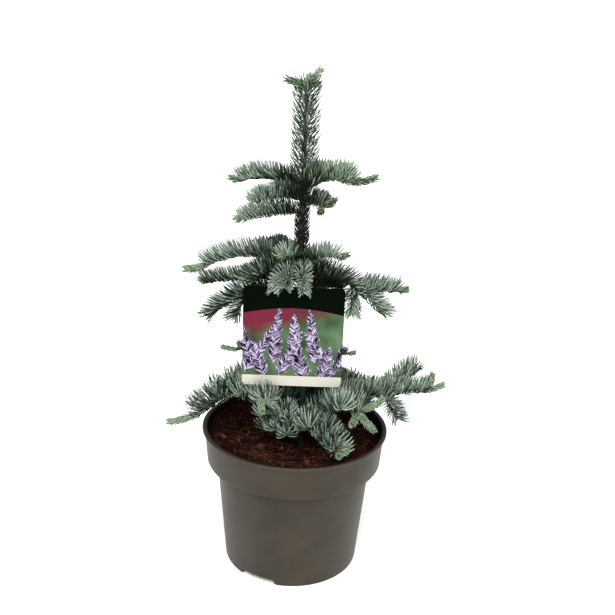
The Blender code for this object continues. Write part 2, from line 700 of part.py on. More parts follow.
def label_mesh(name, thickness, grow=0.0, spike_only=False):
    """The label's sheet: an outline in the XZ plane with its thickness along Y."""
    left = LABEL_MIDDLE - LABEL_WIDTH / 2
    right = LABEL_MIDDLE + LABEL_WIDTH / 2
    r = LABEL_CORNER
    spike_end = SOIL_TOP - SPIKE_DEPTH - grow
    top_half, foot_half = SPIKE_TOP_WIDTH / 2 + grow, SPIKE_FOOT_WIDTH / 2 + grow
    spike = [(SPIKE_MIDDLE - top_half, LABEL_BOTTOM), (SPIKE_MIDDLE - foot_half, spike_end + SPIKE_POINT),
             (SPIKE_MIDDLE, spike_end), (SPIKE_MIDDLE + foot_half, spike_end + SPIKE_POINT),
             (SPIKE_MIDDLE + top_half, LABEL_BOTTOM)]
    card = [] if spike_only else (
        corner(right - r, LABEL_BOTTOM + r, -90, r) + corner(right - r, LABEL_TOP - r, 0, r)
        + corner(left + r, LABEL_TOP - r, 90, r) + corner(left + r, LABEL_BOTTOM + r, 180, r))
    curve = bpy.data.curves.new(name, "CURVE")
    curve.dimensions = "2D"
    curve.fill_mode = "BOTH"
    curve.extrude = thickness / 2
    spline = curve.splines.new("POLY")
    outline = spike + card
    spline.points.add(len(outline) - 1)
    for point, (x, z) in zip(spline.points, outline):
        point.co = (x, z, 0.0, 1.0)
    spline.use_cyclic_u = True
    obj = bpy.data.objects.new(name, curve)
    bpy.context.scene.collection.objects.link(obj)
    mesh = weld(evaluated_mesh(obj))
    bpy.data.objects.remove(obj, do_unlink=True)
    bpy.data.curves.remove(curve)
    stand = Matrix.Translation((0.0, LABEL_PLANE, 0.0)) @ Matrix.Rotation(math.pi / 2, 4, "X")
    mesh.transform(stand)
    return mesh


def make_trunk(collection, material):
    """The trunk: one straight tapering limb from its flared foot to the tip."""
    share = np.linspace(0.0, 1.0, TRUNK_RINGS)
    heights = TRUNK_BASE + (TRUNK_TIP - TRUNK_BASE) * share ** TRUNK_RING_GROWTH
    heights = np.insert(heights, 1, TRUNK_BASE + np.array(FLARE_RING_SHARES) * TRUNK_FLARE_HEIGHT)
    heights = np.sort(heights)
    path = np.stack((np.zeros_like(heights), np.zeros_like(heights), heights), axis=1)
    mesh = tube_mesh(path, [trunk_radius(h) for h in heights], 2)
    return add_object("trunk", mesh, collection, material)


def make_sleeve(sleeve, space, owner, collection, material):
    """Old needles on a stretch of trunk: a thin sleeve round it that they stand out of."""
    low_inner, low_outer = sleeve_radii(sleeve.foot)
    high_inner, high_outer = sleeve_radii(sleeve.head)
    profile = [(high_outer, sleeve.head), (low_outer, sleeve.foot),
               (low_inner, sleeve.foot), (high_inner, sleeve.head)]
    ring = turned(sleeve.name + "_ring", profile, SLEEVE_SIDES, collection, material, closed=True)
    first = weld(evaluated_mesh(ring))
    bpy.data.objects.remove(ring, do_unlink=True)
    needles = [needle_mesh(*needle) for needle in sleeve_needles(sleeve)
               if space.has_room(owner, *needle)]
    return join_mass(sleeve.name, first, needles, collection, material)


def build():
    """Make every sub-part as one named object."""
    clear_scene()
    parts = make_collection(NAME)
    cutters = make_collection("cutters")
    materials = {name: make_material(name) for name in COLOURS}
    make_pot(parts, cutters, materials["pot"])
    make_soil(parts, cutters, materials["soil"])
    add_object("label", label_mesh("label", LABEL_THICKNESS), parts, materials["label"])
    make_trunk(parts, materials["bark"])

    space = Space()
    trunk = np.array(((0.0, 0.0, TRUNK_BASE), (0.0, 0.0, TRUNK_TIP)))
    space.add(-1, trunk, TRUNK_FOOT_RADIUS, TRUNK_TIP_RADIUS, False)
    masses = []
    for owner, bough in enumerate(BOUGHS):
        limb, shoots = grow_bough(bough)
        masses.append(("mass_" + bough.name, bough, shoots))
        if limb is not None:
            space.add(-2 - owner, limb, BOUGH_ROOT_RADIUS, BOUGH_TIP_RADIUS, False)
            steps = np.linspace(BOUGH_ROOT_RADIUS, BOUGH_TIP_RADIUS, len(limb))
            add_object("bough_" + bough.name, tube_mesh(limb, steps, 1), parts, materials["bark"])
    masses.append(("leader_tip", None, grow_leader()))
    for owner, (_, _, shoots) in enumerate(masses):
        for path, root_radius, tip_radius, _ in shoots:
            space.add(owner, path, root_radius, tip_radius, True)
    for i, sleeve in enumerate(SLEEVES):
        line = np.array(((0.0, 0.0, sleeve.foot), (0.0, 0.0, sleeve.head)))
        outer_radii = [sleeve_radii(height)[1] for height in (sleeve.foot, sleeve.head)]
        space.add(len(masses) + i, line, *outer_radii, True)
    space.close()

    for owner, (name, bough, shoots) in enumerate(masses):
        scale, hang = (bough.scale, bough.hang) if bough else (1.0, 0.0)
        cores = [shoot_mesh(*shoot[:3]) for shoot in shoots]
        needles = [needle for path, _, _, new in shoots
                   for needle in shoot_needles(path, new, scale, hang)
                   if space.has_room(owner, *needle)]
        material = materials["needles" if bough else "new_shoots"]
        join_mass(name, cores[0], cores[1:] + [needle_mesh(*n) for n in needles], parts, material)
    for i, sleeve in enumerate(SLEEVES):
        make_sleeve(sleeve, space, len(masses) + i, parts, materials["needles"])


build()
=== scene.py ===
# %% [markdown]
# # A potted blue noble fir
#
# This lesson dresses a young noble fir in Blender, piece by piece. The solids of the
# plant and its pot are loaded first and stay where they are. Every piece that follows
# is worked out with numpy in the same frame: metres, Z up, the pot's underside at zero.

# %% Load the solids
import math
import random
from collections import namedtuple
from functools import partial

import bmesh
import bpy
import numpy as np
from mathutils import Matrix


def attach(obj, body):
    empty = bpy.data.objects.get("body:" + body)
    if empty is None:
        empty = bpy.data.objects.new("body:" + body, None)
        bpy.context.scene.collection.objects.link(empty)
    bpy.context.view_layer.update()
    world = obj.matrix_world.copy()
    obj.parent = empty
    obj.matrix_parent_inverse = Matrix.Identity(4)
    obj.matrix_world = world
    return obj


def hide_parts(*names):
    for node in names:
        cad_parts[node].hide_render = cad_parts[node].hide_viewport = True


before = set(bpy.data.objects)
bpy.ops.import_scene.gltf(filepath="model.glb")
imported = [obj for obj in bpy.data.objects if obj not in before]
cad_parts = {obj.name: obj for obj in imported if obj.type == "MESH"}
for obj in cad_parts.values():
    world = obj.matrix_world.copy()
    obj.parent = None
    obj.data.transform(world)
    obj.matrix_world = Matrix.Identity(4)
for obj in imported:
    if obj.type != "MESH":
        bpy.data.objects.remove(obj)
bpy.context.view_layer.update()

# %% [markdown]
# ## The camera
#
# A photograph of a round pot gives the camera away: its rim, collar and foot are
# ellipses, and only one camera makes all three fit. That camera stands 0.80 m in front
# of the pot and 0.55 m up, looks down by 18.7 degrees, and is turned a little on its
# own axis, so that upright things lean to the right.

# %% Camera
IMAGE_SIZE = 615
FOCAL_PIXELS = 860.0
SENSOR_WIDTH = 36.0
CAMERA_PLACE = (0.0, -0.8040, 0.5482)
CAMERA_PITCH, CAMERA_YAW, CAMERA_ROLL = (math.radians(a) for a in (18.74, 0.59, 2.28))


def camera_axes(pitch, yaw, roll):
    """Right, up and forward of a camera that looks along +Y, turned by three angles."""
    forward = np.array((math.sin(yaw) * math.cos(pitch), math.cos(yaw) * math.cos(pitch),
                        -math.sin(pitch)))
    right = np.array((math.cos(yaw), -math.sin(yaw), 0.0))
    up = np.cross(right, forward)
    return (math.cos(roll) * right + math.sin(roll) * up,
            -math.sin(roll) * right + math.cos(roll) * up, forward)


def put(name, data, axes, place):
    """An object with its own three axes, at a place in the scene."""
    thing = bpy.data.objects.new(name, data)
    matrix = np.eye(4)
    matrix[:3] = np.stack((*axes, place), axis=1)
    thing.matrix_world = Matrix(matrix.tolist())
    bpy.context.scene.collection.objects.link(thing)
    return thing


right, up, forward = camera_axes(CAMERA_PITCH, CAMERA_YAW, CAMERA_ROLL)
lens = bpy.data.cameras.new("camera")
lens.sensor_width = SENSOR_WIDTH
lens.lens = FOCAL_PIXELS / IMAGE_SIZE * SENSOR_WIDTH
bpy.context.scene.camera = put("camera", lens, (right, up, -forward), CAMERA_PLACE)
print("lens", round(lens.lens, 2), "mm")

# %% [markdown]
# ## Helpers for meshes
#
# Every surface below is a grid of points or a heap of triangles, worked out as whole
# arrays. A few helpers turn such arrays into meshes. `foreach_set` copies an array in
# one go, which is many times faster than a loop over vertices.

# %% Mesh helpers
OCTAVES, WAVES, OCTAVE_FALL = 5, 6, 1.7
WELD_DISTANCE = 1e-6


def unit(vectors):
    return vectors / np.linalg.norm(vectors, axis=-1, keepdims=True)


def mesh_from_faces(name, points, faces, smooth=True):
    """A mesh from an array of points and an array of faces that all have as many corners."""
    faces = np.asarray(faces, dtype=np.int32)
    mesh = bpy.data.meshes.new(name)
    mesh.vertices.add(len(points))
    mesh.vertices.foreach_set("co", np.asarray(points, dtype=np.float32).ravel())
    mesh.loops.add(faces.size)
    mesh.loops.foreach_set("vertex_index", faces.ravel())
    mesh.polygons.add(len(faces))
    mesh.polygons.foreach_set("loop_start", np.arange(0, faces.size, faces.shape[1], dtype=np.int32))
    mesh.update(calc_edges=True)
    mesh.polygons.foreach_set("use_smooth", np.full(len(faces), smooth))
    mesh.validate()
    return mesh


def welded(name, points, faces, smooth=True):
    """A mesh where points that share a spot, as at the pole of a turned shape, are one point."""
    mesh = mesh_from_faces(name, points, faces, smooth)
    work = bmesh.new()
    work.from_mesh(mesh)
    bmesh.ops.remove_doubles(work, verts=work.verts, dist=WELD_DISTANCE)
    work.to_mesh(mesh)
    work.free()
    return mesh


def add_piece(name, mesh, material, slot, *nodes):
    """Put a finished piece in the scene, on the one body, in place of its solids."""
    piece = bpy.data.objects.new(name, mesh)
    bpy.context.scene.collection.objects.link(piece)
    mesh.materials.append(material)
    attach(piece, "root")
    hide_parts(*nodes)
    print(name, "triangles", sum(len(p.vertices) - 2 for p in mesh.polygons))


def grid_faces(rows, columns):
    """Quads of a grid of rows by columns, joined round along the columns."""
    row, column = np.meshgrid(np.arange(rows - 1), np.arange(columns), indexing="ij")
    after = (column + 1) % columns
    corners = (row * columns + column, row * columns + after,
               (row + 1) * columns + after, (row + 1) * columns + column)
    return np.stack(corners, axis=-1).reshape(-1, 4)


def smooth_noise(points, scale, seed):
    """A soft bumpy value for each point: a sum of sines in directions drawn by the seed.

    Each octave has waves twice as short as the one before, and OCTAVE_FALL times as low.
    """
    rng = np.random.default_rng(seed)
    value = np.zeros(len(points))
    for octave in range(OCTAVES):
        waves = rng.normal(size=(WAVES, 3))
        waves *= 2 ** octave / scale / np.linalg.norm(waves, axis=1)[:, None]
        phase = rng.uniform(0, 2 * math.pi, WAVES)
        value += np.sin(points @ waves.T * 2 * math.pi + phase).mean(axis=1) / OCTAVE_FALL ** octave
    return value

# %% [markdown]
# ## Shared shading
#
# Most finishes here are a colour that wanders between two tones, with a fine relief.
# A node group holds that effect once. It reads Object coordinates, so the pattern sits
# still on the piece, and it gives out a colour, a mask and a height. Short helpers
# make and join the nodes.

# %% Node helpers
def feed(tree, value, socket):
    """Put a plain value in a socket, or link another socket to it."""
    if isinstance(value, bpy.types.NodeSocket):
        tree.links.new(value, socket)
    else:
        socket.default_value = value


def math_node(tree, operation, *values):
    """The output of a maths node whose inputs are sockets or plain numbers."""
    node = tree.nodes.new("ShaderNodeMath")
    node.operation = operation
    for socket, value in zip(node.inputs, values):
        feed(tree, value, socket)
    return node.outputs[0]


def mixed(tree, mask, below, above):
    """One colour over another where the mask is 1."""
    node = tree.nodes.new("ShaderNodeMix")
    node.data_type = "RGBA"
    for socket, value in (("Factor", mask), (6, below), (7, above)):
        feed(tree, value, node.inputs[socket])
    return node.outputs[2]


def noise(tree, place, scale, detail=2.0):
    node = tree.nodes.new("ShaderNodeTexNoise")
    for socket, value in (("Vector", place), ("Scale", scale), ("Detail", detail)):
        feed(tree, value, node.inputs[socket])
    return node.outputs["Fac"]


def stretched(tree, value, low, high):
    """A value stretched so that low and high become 0 and 1, and held between them."""
    node = tree.nodes.new("ShaderNodeMapRange")
    for socket, given in (("Value", value), ("From Min", low), ("From Max", high)):
        feed(tree, given, node.inputs[socket])
    return node.outputs["Result"]


def object_place(tree):
    """Object coordinates: the whole vector, then X, Y and Z alone."""
    place = tree.nodes.new("ShaderNodeTexCoord").outputs["Object"]
    split = tree.nodes.new("ShaderNodeSeparateXYZ")
    tree.links.new(place, split.inputs[0])
    return place, *split.outputs


def new_group(name, *sockets):
    """An empty group: its tree, the sockets it takes in, and those it gives out."""
    tree = bpy.data.node_groups.new(name, "ShaderNodeTree")
    for direction, kind, labels in sockets:
        for label in labels:
            tree.interface.new_socket(name=label, in_out=direction, socket_type="NodeSocket" + kind)
    return tree, tree.nodes.new("NodeGroupInput").outputs, tree.nodes.new("NodeGroupOutput").inputs


# %% The mottle group
BROAD_DETAIL, FINE_DETAIL = 4.0, 3.0
FINE_SHARE = 0.35
MOTTLE_RANGE = (0.50, 0.85)


def make_mottle_group():
    """Two noises on Object coordinates.

    The mask is broad + FINE_SHARE fine, stretched over MOTTLE_RANGE, and mixes the two
    tones. The height is the fine noise alone.
    """
    tree, given, out = new_group(
        "mottle", ("INPUT", "Color", ("Light", "Dark")), ("INPUT", "Float", ("Broad Scale", "Fine Scale")),
        ("OUTPUT", "Color", ("Color",)), ("OUTPUT", "Float", ("Mask", "Height")))
    place = object_place(tree)[0]
    broad = noise(tree, place, given["Broad Scale"], BROAD_DETAIL)
    fine = noise(tree, place, given["Fine Scale"], FINE_DETAIL)
    mask = stretched(tree, math_node(tree, "MULTIPLY_ADD", fine, FINE_SHARE, broad), *MOTTLE_RANGE)
    feed(tree, mixed(tree, mask, given["Dark"], given["Light"]), out["Color"])
    feed(tree, mask, out["Mask"])
    feed(tree, fine, out["Height"])
    return tree


MOTTLE = make_mottle_group()
EXPOSURE = 1.45


def srgb(*values):
    """A colour seen in the photograph, 0 to 255, as the linear values that a shader takes.

    The studio is so bright that its pale floor turns white: its lights are EXPOSURE times
    those that would show white paper as white, so each colour is darker by as much.
    """
    share = np.array(values) / 255.0
    linear = np.where(share <= 0.04045, share / 12.92, ((share + 0.055) / 1.055) ** 2.4)
    return (*(linear / EXPOSURE).tolist(), 1.0)


def new_material(name, roughness, specular):
    """A material, its node tree and its Principled shader."""
    material = bpy.data.materials.new(name)
    material.use_nodes = True
    shader = material.node_tree.nodes["Principled BSDF"]
    shader.inputs["Roughness"].default_value = roughness
    shader.inputs["Specular IOR Level"].default_value = specular
    return material, material.node_tree, shader


def mottled_material(name, light, dark, broad, fine, roughness, relief, distance=0.0002, specular=0.5):
    """A Principled material whose colour and relief come from the mottle group."""
    material, tree, shader = new_material(name, roughness, specular)
    group, bump = tree.nodes.new("ShaderNodeGroup"), tree.nodes.new("ShaderNodeBump")
    group.node_tree, group.name = MOTTLE, "mottle"
    for node, socket, value in ((group, "Light", light), (group, "Dark", dark), (group, "Broad Scale", broad),
                                (group, "Fine Scale", fine), (bump, "Strength", relief),
                                (bump, "Distance", distance), (bump, "Height", group.outputs["Height"]),
                                (shader, "Base Color", group.outputs["Color"]),
                                (shader, "Normal", bump.outputs["Normal"])):
        feed(tree, value, node.inputs[socket])
    return material


# %% [markdown]
# ## The pot
#
# A nursery pot is blown or moulded in one thin skin: a rolled rim, a broad collar that
# lets pots stack, a tapering body and a foot with drain notches. It is a profile that
# turns round an axis, so its points are radius and height, repeated at each angle. The
# notches are part of the formula: where the angle lies in a notch, the foot's lowest
# points are lifted.

# %% Pot
POT_HEIGHT = 0.148
RIM_RADIUS = 0.095
COLLAR_TOP_RADIUS = 0.0924
COLLAR_FOOT_RADIUS = 0.0895
COLLAR_FOOT = 0.1120
BODY_TOP_RADIUS = 0.0795
FOOT_RADIUS = 0.0697
WALL = 0.0021
FOOT_DEPTH = 0.0080
FLOOR_TOP = 0.0104
NOTCH_AZIMUTHS = (-118.3, 61.7)
NOTCH_HALF_ANGLE = 15.4
NOTCH_SLOPE = 1.6
NOTCH_HEIGHT = 0.0058
POT_TURNS = 288
PROFILE_CORNER, PROFILE_STEP = 0.0011, 0.006
# Where the inner wall is darkened by clinging soil and by painted shade of the recess.
SOIL_AND_SHADE_REACH, SOIL_AND_SHADE_SLOPE, SOIL_AND_SHADE_FOOT = 0.06725, 0.174, 0.120
BODY_SLOPE = (BODY_TOP_RADIUS - FOOT_RADIUS) / COLLAR_FOOT


def rounded_profile(points, radius, steps=4):
    """A profile whose corners are cut off and replaced by small arcs (quadratic curves)."""
    points = np.array(points)
    rounded = [points[0]]
    for before, here, after in zip(points[:-2], points[1:-1], points[2:]):
        back, ahead = before - here, after - here
        cut = min(radius, 0.45 * np.linalg.norm(back), 0.45 * np.linalg.norm(ahead))
        start = here + back / np.linalg.norm(back) * cut
        end = here + ahead / np.linalg.norm(ahead) * cut
        share = np.linspace(0.0, 1.0, steps)[:, None]
        rounded.extend((1 - share) ** 2 * start + 2 * share * (1 - share) * here + share ** 2 * end)
    rounded.append(points[-1])
    return np.array(rounded)


def split_long(profile, longest):
    """A profile with points added so that no step is longer than a named length."""
    pieces = []
    for a, b in zip(profile[:-1], profile[1:]):
        count = max(1, math.ceil(np.linalg.norm(b - a) / longest))
        pieces.append(a + (b - a) * (np.arange(count) / count)[:, None])
    return np.vstack(pieces + [profile[-1:]])


def turned_points(profile, turns):
    """Points of a profile (radius, height) at evenly spaced angles round Z."""
    angle = np.linspace(0.0, 2 * math.pi, turns, endpoint=False)
    radius, height = profile[:, :1], profile[:, 1:]
    points = np.stack((radius * np.cos(angle), radius * np.sin(angle),
                       height + 0.0 * angle), axis=-1)
    return points, angle


def notch_share(angle):
    """1 inside a drain notch and 0 outside, with a short slope between."""
    share = np.zeros_like(angle)
    for azimuth in NOTCH_AZIMUTHS:
        away = np.abs((np.degrees(angle) - azimuth + 180.0) % 360.0 - 180.0)
        slope = (NOTCH_HALF_ANGLE + NOTCH_SLOPE / 2 - away) / NOTCH_SLOPE
        share = np.maximum(share, np.clip(slope, 0.0, 1.0))
    return share


pot_profile = rounded_profile([
    (0.0, FLOOR_TOP),
    (FOOT_RADIUS + BODY_SLOPE * FLOOR_TOP - WALL, FLOOR_TOP),
    (BODY_TOP_RADIUS - WALL, COLLAR_FOOT + 0.0010),
    (COLLAR_FOOT_RADIUS - WALL - 0.0006, COLLAR_FOOT + 0.0030),
    (COLLAR_TOP_RADIUS - WALL, POT_HEIGHT),
    (RIM_RADIUS, POT_HEIGHT),
    (RIM_RADIUS, POT_HEIGHT - 0.0026),
    (COLLAR_TOP_RADIUS, POT_HEIGHT - 0.0034),
    (COLLAR_FOOT_RADIUS + 0.0002, COLLAR_FOOT),
    (BODY_TOP_RADIUS + 0.0006, COLLAR_FOOT - 0.0006),
    (BODY_TOP_RADIUS - 0.0002, COLLAR_FOOT - 0.0040),
    (FOOT_RADIUS + BODY_SLOPE * NOTCH_HEIGHT, NOTCH_HEIGHT),
    (FOOT_RADIUS, 0.0),
    (FOOT_RADIUS - 0.0036, 0.0),
    (FOOT_RADIUS - 0.0042, FOOT_DEPTH),
    (0.0215, FOOT_DEPTH),
    (0.0200, 0.0),
    (0.0, 0.0),
], PROFILE_CORNER)
pot_profile = split_long(pot_profile, PROFILE_STEP)
pot_points, pot_angles = turned_points(pot_profile, POT_TURNS)
in_foot = (pot_profile[:, 0] > 0.060) & (pot_profile[:, 1] < NOTCH_HEIGHT)
lift = np.where(in_foot[:, None], notch_share(pot_angles) * (NOTCH_HEIGHT - pot_profile[:, 1:]), 0.0)
pot_points[:, :, 2] += lift
pot_mesh = welded("pot_shell", pot_points.reshape(-1, 3), grid_faces(len(pot_profile), POT_TURNS)[:, ::-1])
pot_material = mottled_material("pot_plastic", srgb(64, 58, 47), srgb(54, 49, 39), 28.0, 2400.0,
                                0.45, 0.10, 0.0001, specular=0.15)


def stain_and_shade_inside(material, tone):
    """Soil clinging to the wall inside, with painted shade in the pot's recess: a dark tone high up where the
    radius is small.

    The limit is reach < SOIL_AND_SHADE_REACH + SOIL_AND_SHADE_SLOPE z, which runs inside the wall's
    thickness, so the outside keeps its colour.
    """
    tree = material.node_tree
    maths = partial(math_node, tree)
    x, y, z = object_place(tree)[1:]
    reach = maths("SQRT", maths("MULTIPLY_ADD", x, x, maths("MULTIPLY", y, y)))
    within = maths("LESS_THAN", reach, maths("MULTIPLY_ADD", z, SOIL_AND_SHADE_SLOPE, SOIL_AND_SHADE_REACH))
    mask = maths("MULTIPLY", within, maths("GREATER_THAN", z, SOIL_AND_SHADE_FOOT))
    stained_and_shaded = mixed(tree, mask, tree.nodes["mottle"].outputs["Color"], tone)
    feed(tree, stained_and_shaded, tree.nodes["Principled BSDF"].inputs["Base Color"])


# A dark tone on the inner wall: clinging soil and painted shade of the recess.
stain_and_shade_inside(pot_material, srgb(20, 12, 8))
add_piece("pot_shell", pot_mesh, pot_material, "pot", "pot")

# %% [markdown]
# ## The potting soil
#
# The filling is turned like the pot. Then its top is heaped up against the wall, most
# at the back left, and roughened by two noises, a broad one for hollows and a fine one
# for crumbs. The roughness fades out round the trunk, so that the flat foot of the
# trunk rests on it.

# %% Soil surface
SOIL_EDGE = 0.1320
SOIL_TOP = 0.1330
SOIL_SWELL = 0.0018
SWELL_REACH = 0.066
SOIL_RADIUS = 0.0880
TRUNK_SEAT, SEAT_FADE = 0.0080, 0.012
HOLLOW_SCALE, HOLLOW_DEPTH = 0.030, 0.0011
CRUMBLE_SCALE, CRUMBLE_HEIGHT, CRUMBLE_SINK = 0.0065, 0.0012, 0.0008
SOIL_RINGS, SOIL_TURNS = 120, 260
SOIL_FLOOR = 0.0107
HEAP = 0.0085
HEAP_AZIMUTH, HEAP_LEAST = 135.0, 0.30
HEAP_START, HEAP_RUN, HEAP_CURVE = 0.050, 0.036, 1.6
HEAP_SPREAD = 1.4
SPIKE_MIDDLE = 0.0065
LABEL_PLANE = -0.0320


def heap(x, y):
    """How far the soil is heaped against the wall: most at the back left, HEAP_LEAST at the front."""
    toward = np.cos(np.arctan2(y, x) - np.radians(HEAP_AZIMUTH))
    share = HEAP_LEAST + (1.0 - HEAP_LEAST) * np.clip(toward + 0.2, 0.0, 1.0)
    return share * HEAP * np.clip((np.hypot(x, y) - HEAP_START) / HEAP_RUN, 0.0, 1.0) ** HEAP_CURVE


def soil_height(x, y):
    """Height of the soil: a soft swell plus roughness that fades at the trunk and the edge."""
    reach = np.hypot(x, y)
    swell = SOIL_TOP + SOIL_SWELL * np.sin(np.clip(reach / SWELL_REACH, 0.0, 1.0) * math.pi / 2)
    drop = np.clip((reach - SWELL_REACH) / (SOIL_RADIUS - SWELL_REACH), 0.0, 1.0)
    swell -= (SOIL_TOP + SOIL_SWELL - SOIL_EDGE) * drop ** 1.5
    fade = np.clip((reach - TRUNK_SEAT) / SEAT_FADE, 0.0, 1.0)
    flat = np.stack((x, y, 0.0 * x), axis=-1).reshape(-1, 3)
    broad = HOLLOW_DEPTH * smooth_noise(flat, HOLLOW_SCALE, 5)
    fine = CRUMBLE_HEIGHT * np.abs(smooth_noise(flat, CRUMBLE_SCALE, 6)) - CRUMBLE_SINK
    return swell + heap(x, y) + fade * (broad + fine).reshape(np.shape(x))


rings = np.concatenate((np.linspace(0.0, SOIL_RADIUS, SOIL_RINGS),
                        [SOIL_RADIUS - 0.0022, BODY_TOP_RADIUS - WALL - 0.0004,
                         FOOT_RADIUS - WALL + 0.0004, 0.0]))
levels = np.concatenate((np.full(SOIL_RINGS, SOIL_TOP), [0.1150, 0.1130, SOIL_FLOOR, SOIL_FLOOR]))
soil_points, _ = turned_points(np.stack((rings, levels), axis=1), SOIL_TURNS)
top = soil_points[:SOIL_RINGS]
top[..., 2] = soil_height(top[..., 0], top[..., 1])
top[..., :2] *= 1.0 + HEAP_SPREAD * heap(top[..., 0], top[..., 1])[..., None]
soil_mesh = welded("soil_surface", soil_points.reshape(-1, 3), grid_faces(len(rings), SOIL_TURNS)[:, ::-1])
soil_material = mottled_material("potting_soil", srgb(48, 23, 14), srgb(13, 4, 1), 150.0, 1500.0,
                                 0.95, 0.9, 0.0006, specular=0.02)
add_piece("soil_surface", soil_mesh, soil_material, "soil", "soil")

# %% [markdown]
# The soil is full of coir. A fibre is a thin three-sided tube along a curved line, and
# all of them are worked out at once: one array of roots, one of directions, and the
# points of every tube follow by broadcasting. Bark chips and crumbs are lumps: a small
# ball whose points are pushed in and out and then squashed.

# %% Arrays of tubes and lumps
UNEVEN = 0.28
SPIKE_ROOM = 0.009


def tubes_from_lines(lines, radii, sides):
    """Tubes round many lines of equal length: points (n, k, 3) and radii (n, k).

    Each ring stands square to the line: ring = line + r (a cos + b sin), where a and b
    span the plane across the line's direction.
    """
    count, steps, _ = lines.shape
    along = unit(np.gradient(lines, axis=1))
    helper = np.where(np.abs(along[:, :1, 2:]) > 0.9, (1.0, 0.0, 0.0), (0.0, 0.0, 1.0))
    a = unit(np.cross(along, helper))
    b = np.cross(along, a)
    angle = np.linspace(0.0, 2 * math.pi, sides, endpoint=False)
    ring = (a[:, :, None, :] * np.cos(angle)[None, None, :, None]
            + b[:, :, None, :] * np.sin(angle)[None, None, :, None])
    points = lines[:, :, None, :] + ring * radii[:, :, None, None]
    return points.reshape(-1, 3), repeated(grid_faces(steps, sides), count, steps * sides)


def repeated(faces, count, points_each):
    """The faces of one shape, for as many copies as there are."""
    return (faces[None] + (np.arange(count) * points_each)[:, None, None]).reshape(-1, faces.shape[1])


def ball(rows, columns):
    """Points on a unit ball, rows by columns, and its quads."""
    polar = np.linspace(0.0, math.pi, rows)
    points, _ = turned_points(np.stack((np.sin(polar), np.cos(polar)), axis=1), columns)
    return points.reshape(-1, 3), grid_faces(rows, columns)[:, ::-1]


def random_turns(count, rng):
    """Rotation matrices drawn evenly, from normalised quaternions."""
    w, x, y, z = unit(rng.normal(size=(count, 4))).T
    return np.stack((1 - 2 * (y * y + z * z), 2 * (x * y - w * z), 2 * (x * z + w * y),
                     2 * (x * y + w * z), 1 - 2 * (x * x + z * z), 2 * (y * z - w * x),
                     2 * (x * z - w * y), 2 * (y * z + w * x), 1 - 2 * (x * x + y * y)),
                    axis=1).reshape(-1, 3, 3)


def lumps(centres, sizes, rows, columns, rng):
    """Irregular lumps: balls with uneven points, scaled by (n, 3) sizes and turned."""
    points, faces = ball(rows, columns)
    uneven = 1.0 + rng.uniform(-UNEVEN, UNEVEN, (len(centres), len(points), 1))
    shaped = points[None] * uneven * sizes[:, None, :]
    placed = np.einsum("nij,nkj->nki", random_turns(len(centres), rng), shaped) + centres[:, None]
    return placed.reshape(-1, 3), repeated(faces, len(centres), len(points))


def scatter_on_soil(count, rng, inner, outer):
    """Places spread evenly over the soil, clear of the trunk and of the label's spike."""
    reach = np.sqrt(rng.uniform(inner ** 2, outer ** 2, 2 * count))
    turn = rng.uniform(0.0, 2 * math.pi, 2 * count)
    x, y = reach * np.cos(turn), reach * np.sin(turn)
    free = np.hypot(x - SPIKE_MIDDLE, y - LABEL_PLANE) > SPIKE_ROOM
    return x[free][:count], y[free][:count]


# %% Coir fibres
FIBRES, FIBRE_STEPS, FIBRE_SIDES = 1300, 9, 3
LIGHT_FIBRES = FIBRES * 2 // 5
FIBRE_REACH = 0.0835
FIBRE_LIFT = 0.0002
soil_rng = np.random.default_rng(21)
x, y = scatter_on_soil(FIBRES, soil_rng, 0.020, 0.078)
turn = soil_rng.uniform(0.0, 2 * math.pi, FIBRES)
bend = soil_rng.normal(0.0, 0.8, FIBRES)
length = soil_rng.uniform(0.005, 0.024, FIBRES)
share = np.linspace(-0.5, 0.5, FIBRE_STEPS)
line_turn = turn[:, None] + bend[:, None] * share
fx = x[:, None] + np.cumsum(np.cos(line_turn), axis=1) * (length / FIBRE_STEPS)[:, None]
fy = y[:, None] + np.cumsum(np.sin(line_turn), axis=1) * (length / FIBRE_STEPS)[:, None]
pull = np.minimum(1.0, FIBRE_REACH / np.hypot(fx, fy))
fx, fy = fx * pull, fy * pull
arch = soil_rng.uniform(0.0002, 0.0028, FIBRES)[:, None] * np.cos(share * math.pi)
fibre_lines = np.stack((fx, fy, soil_height(fx, fy) + FIBRE_LIFT + arch), axis=-1)
taper = np.clip((0.5 - np.abs(share)) * 8.0, 0.0, 1.0)
fibre_radii = soil_rng.uniform(0.00012, 0.00026, FIBRES)[:, None] * taper
for name, chosen, pale, deep in (
        ("coir_fibres_light", slice(0, LIGHT_FIBRES), srgb(126, 74, 50), srgb(78, 42, 27)),
        ("coir_fibres_dark", slice(LIGHT_FIBRES, FIBRES), srgb(52, 26, 16), srgb(32, 15, 9))):
    mesh = welded(name, *tubes_from_lines(fibre_lines[chosen], fibre_radii[chosen], FIBRE_SIDES))
    material = mottled_material(name, pale, deep, 120.0, 2000.0, 0.8, 0.2, specular=0.2)
    add_piece(name, mesh, material, "soil", "soil")

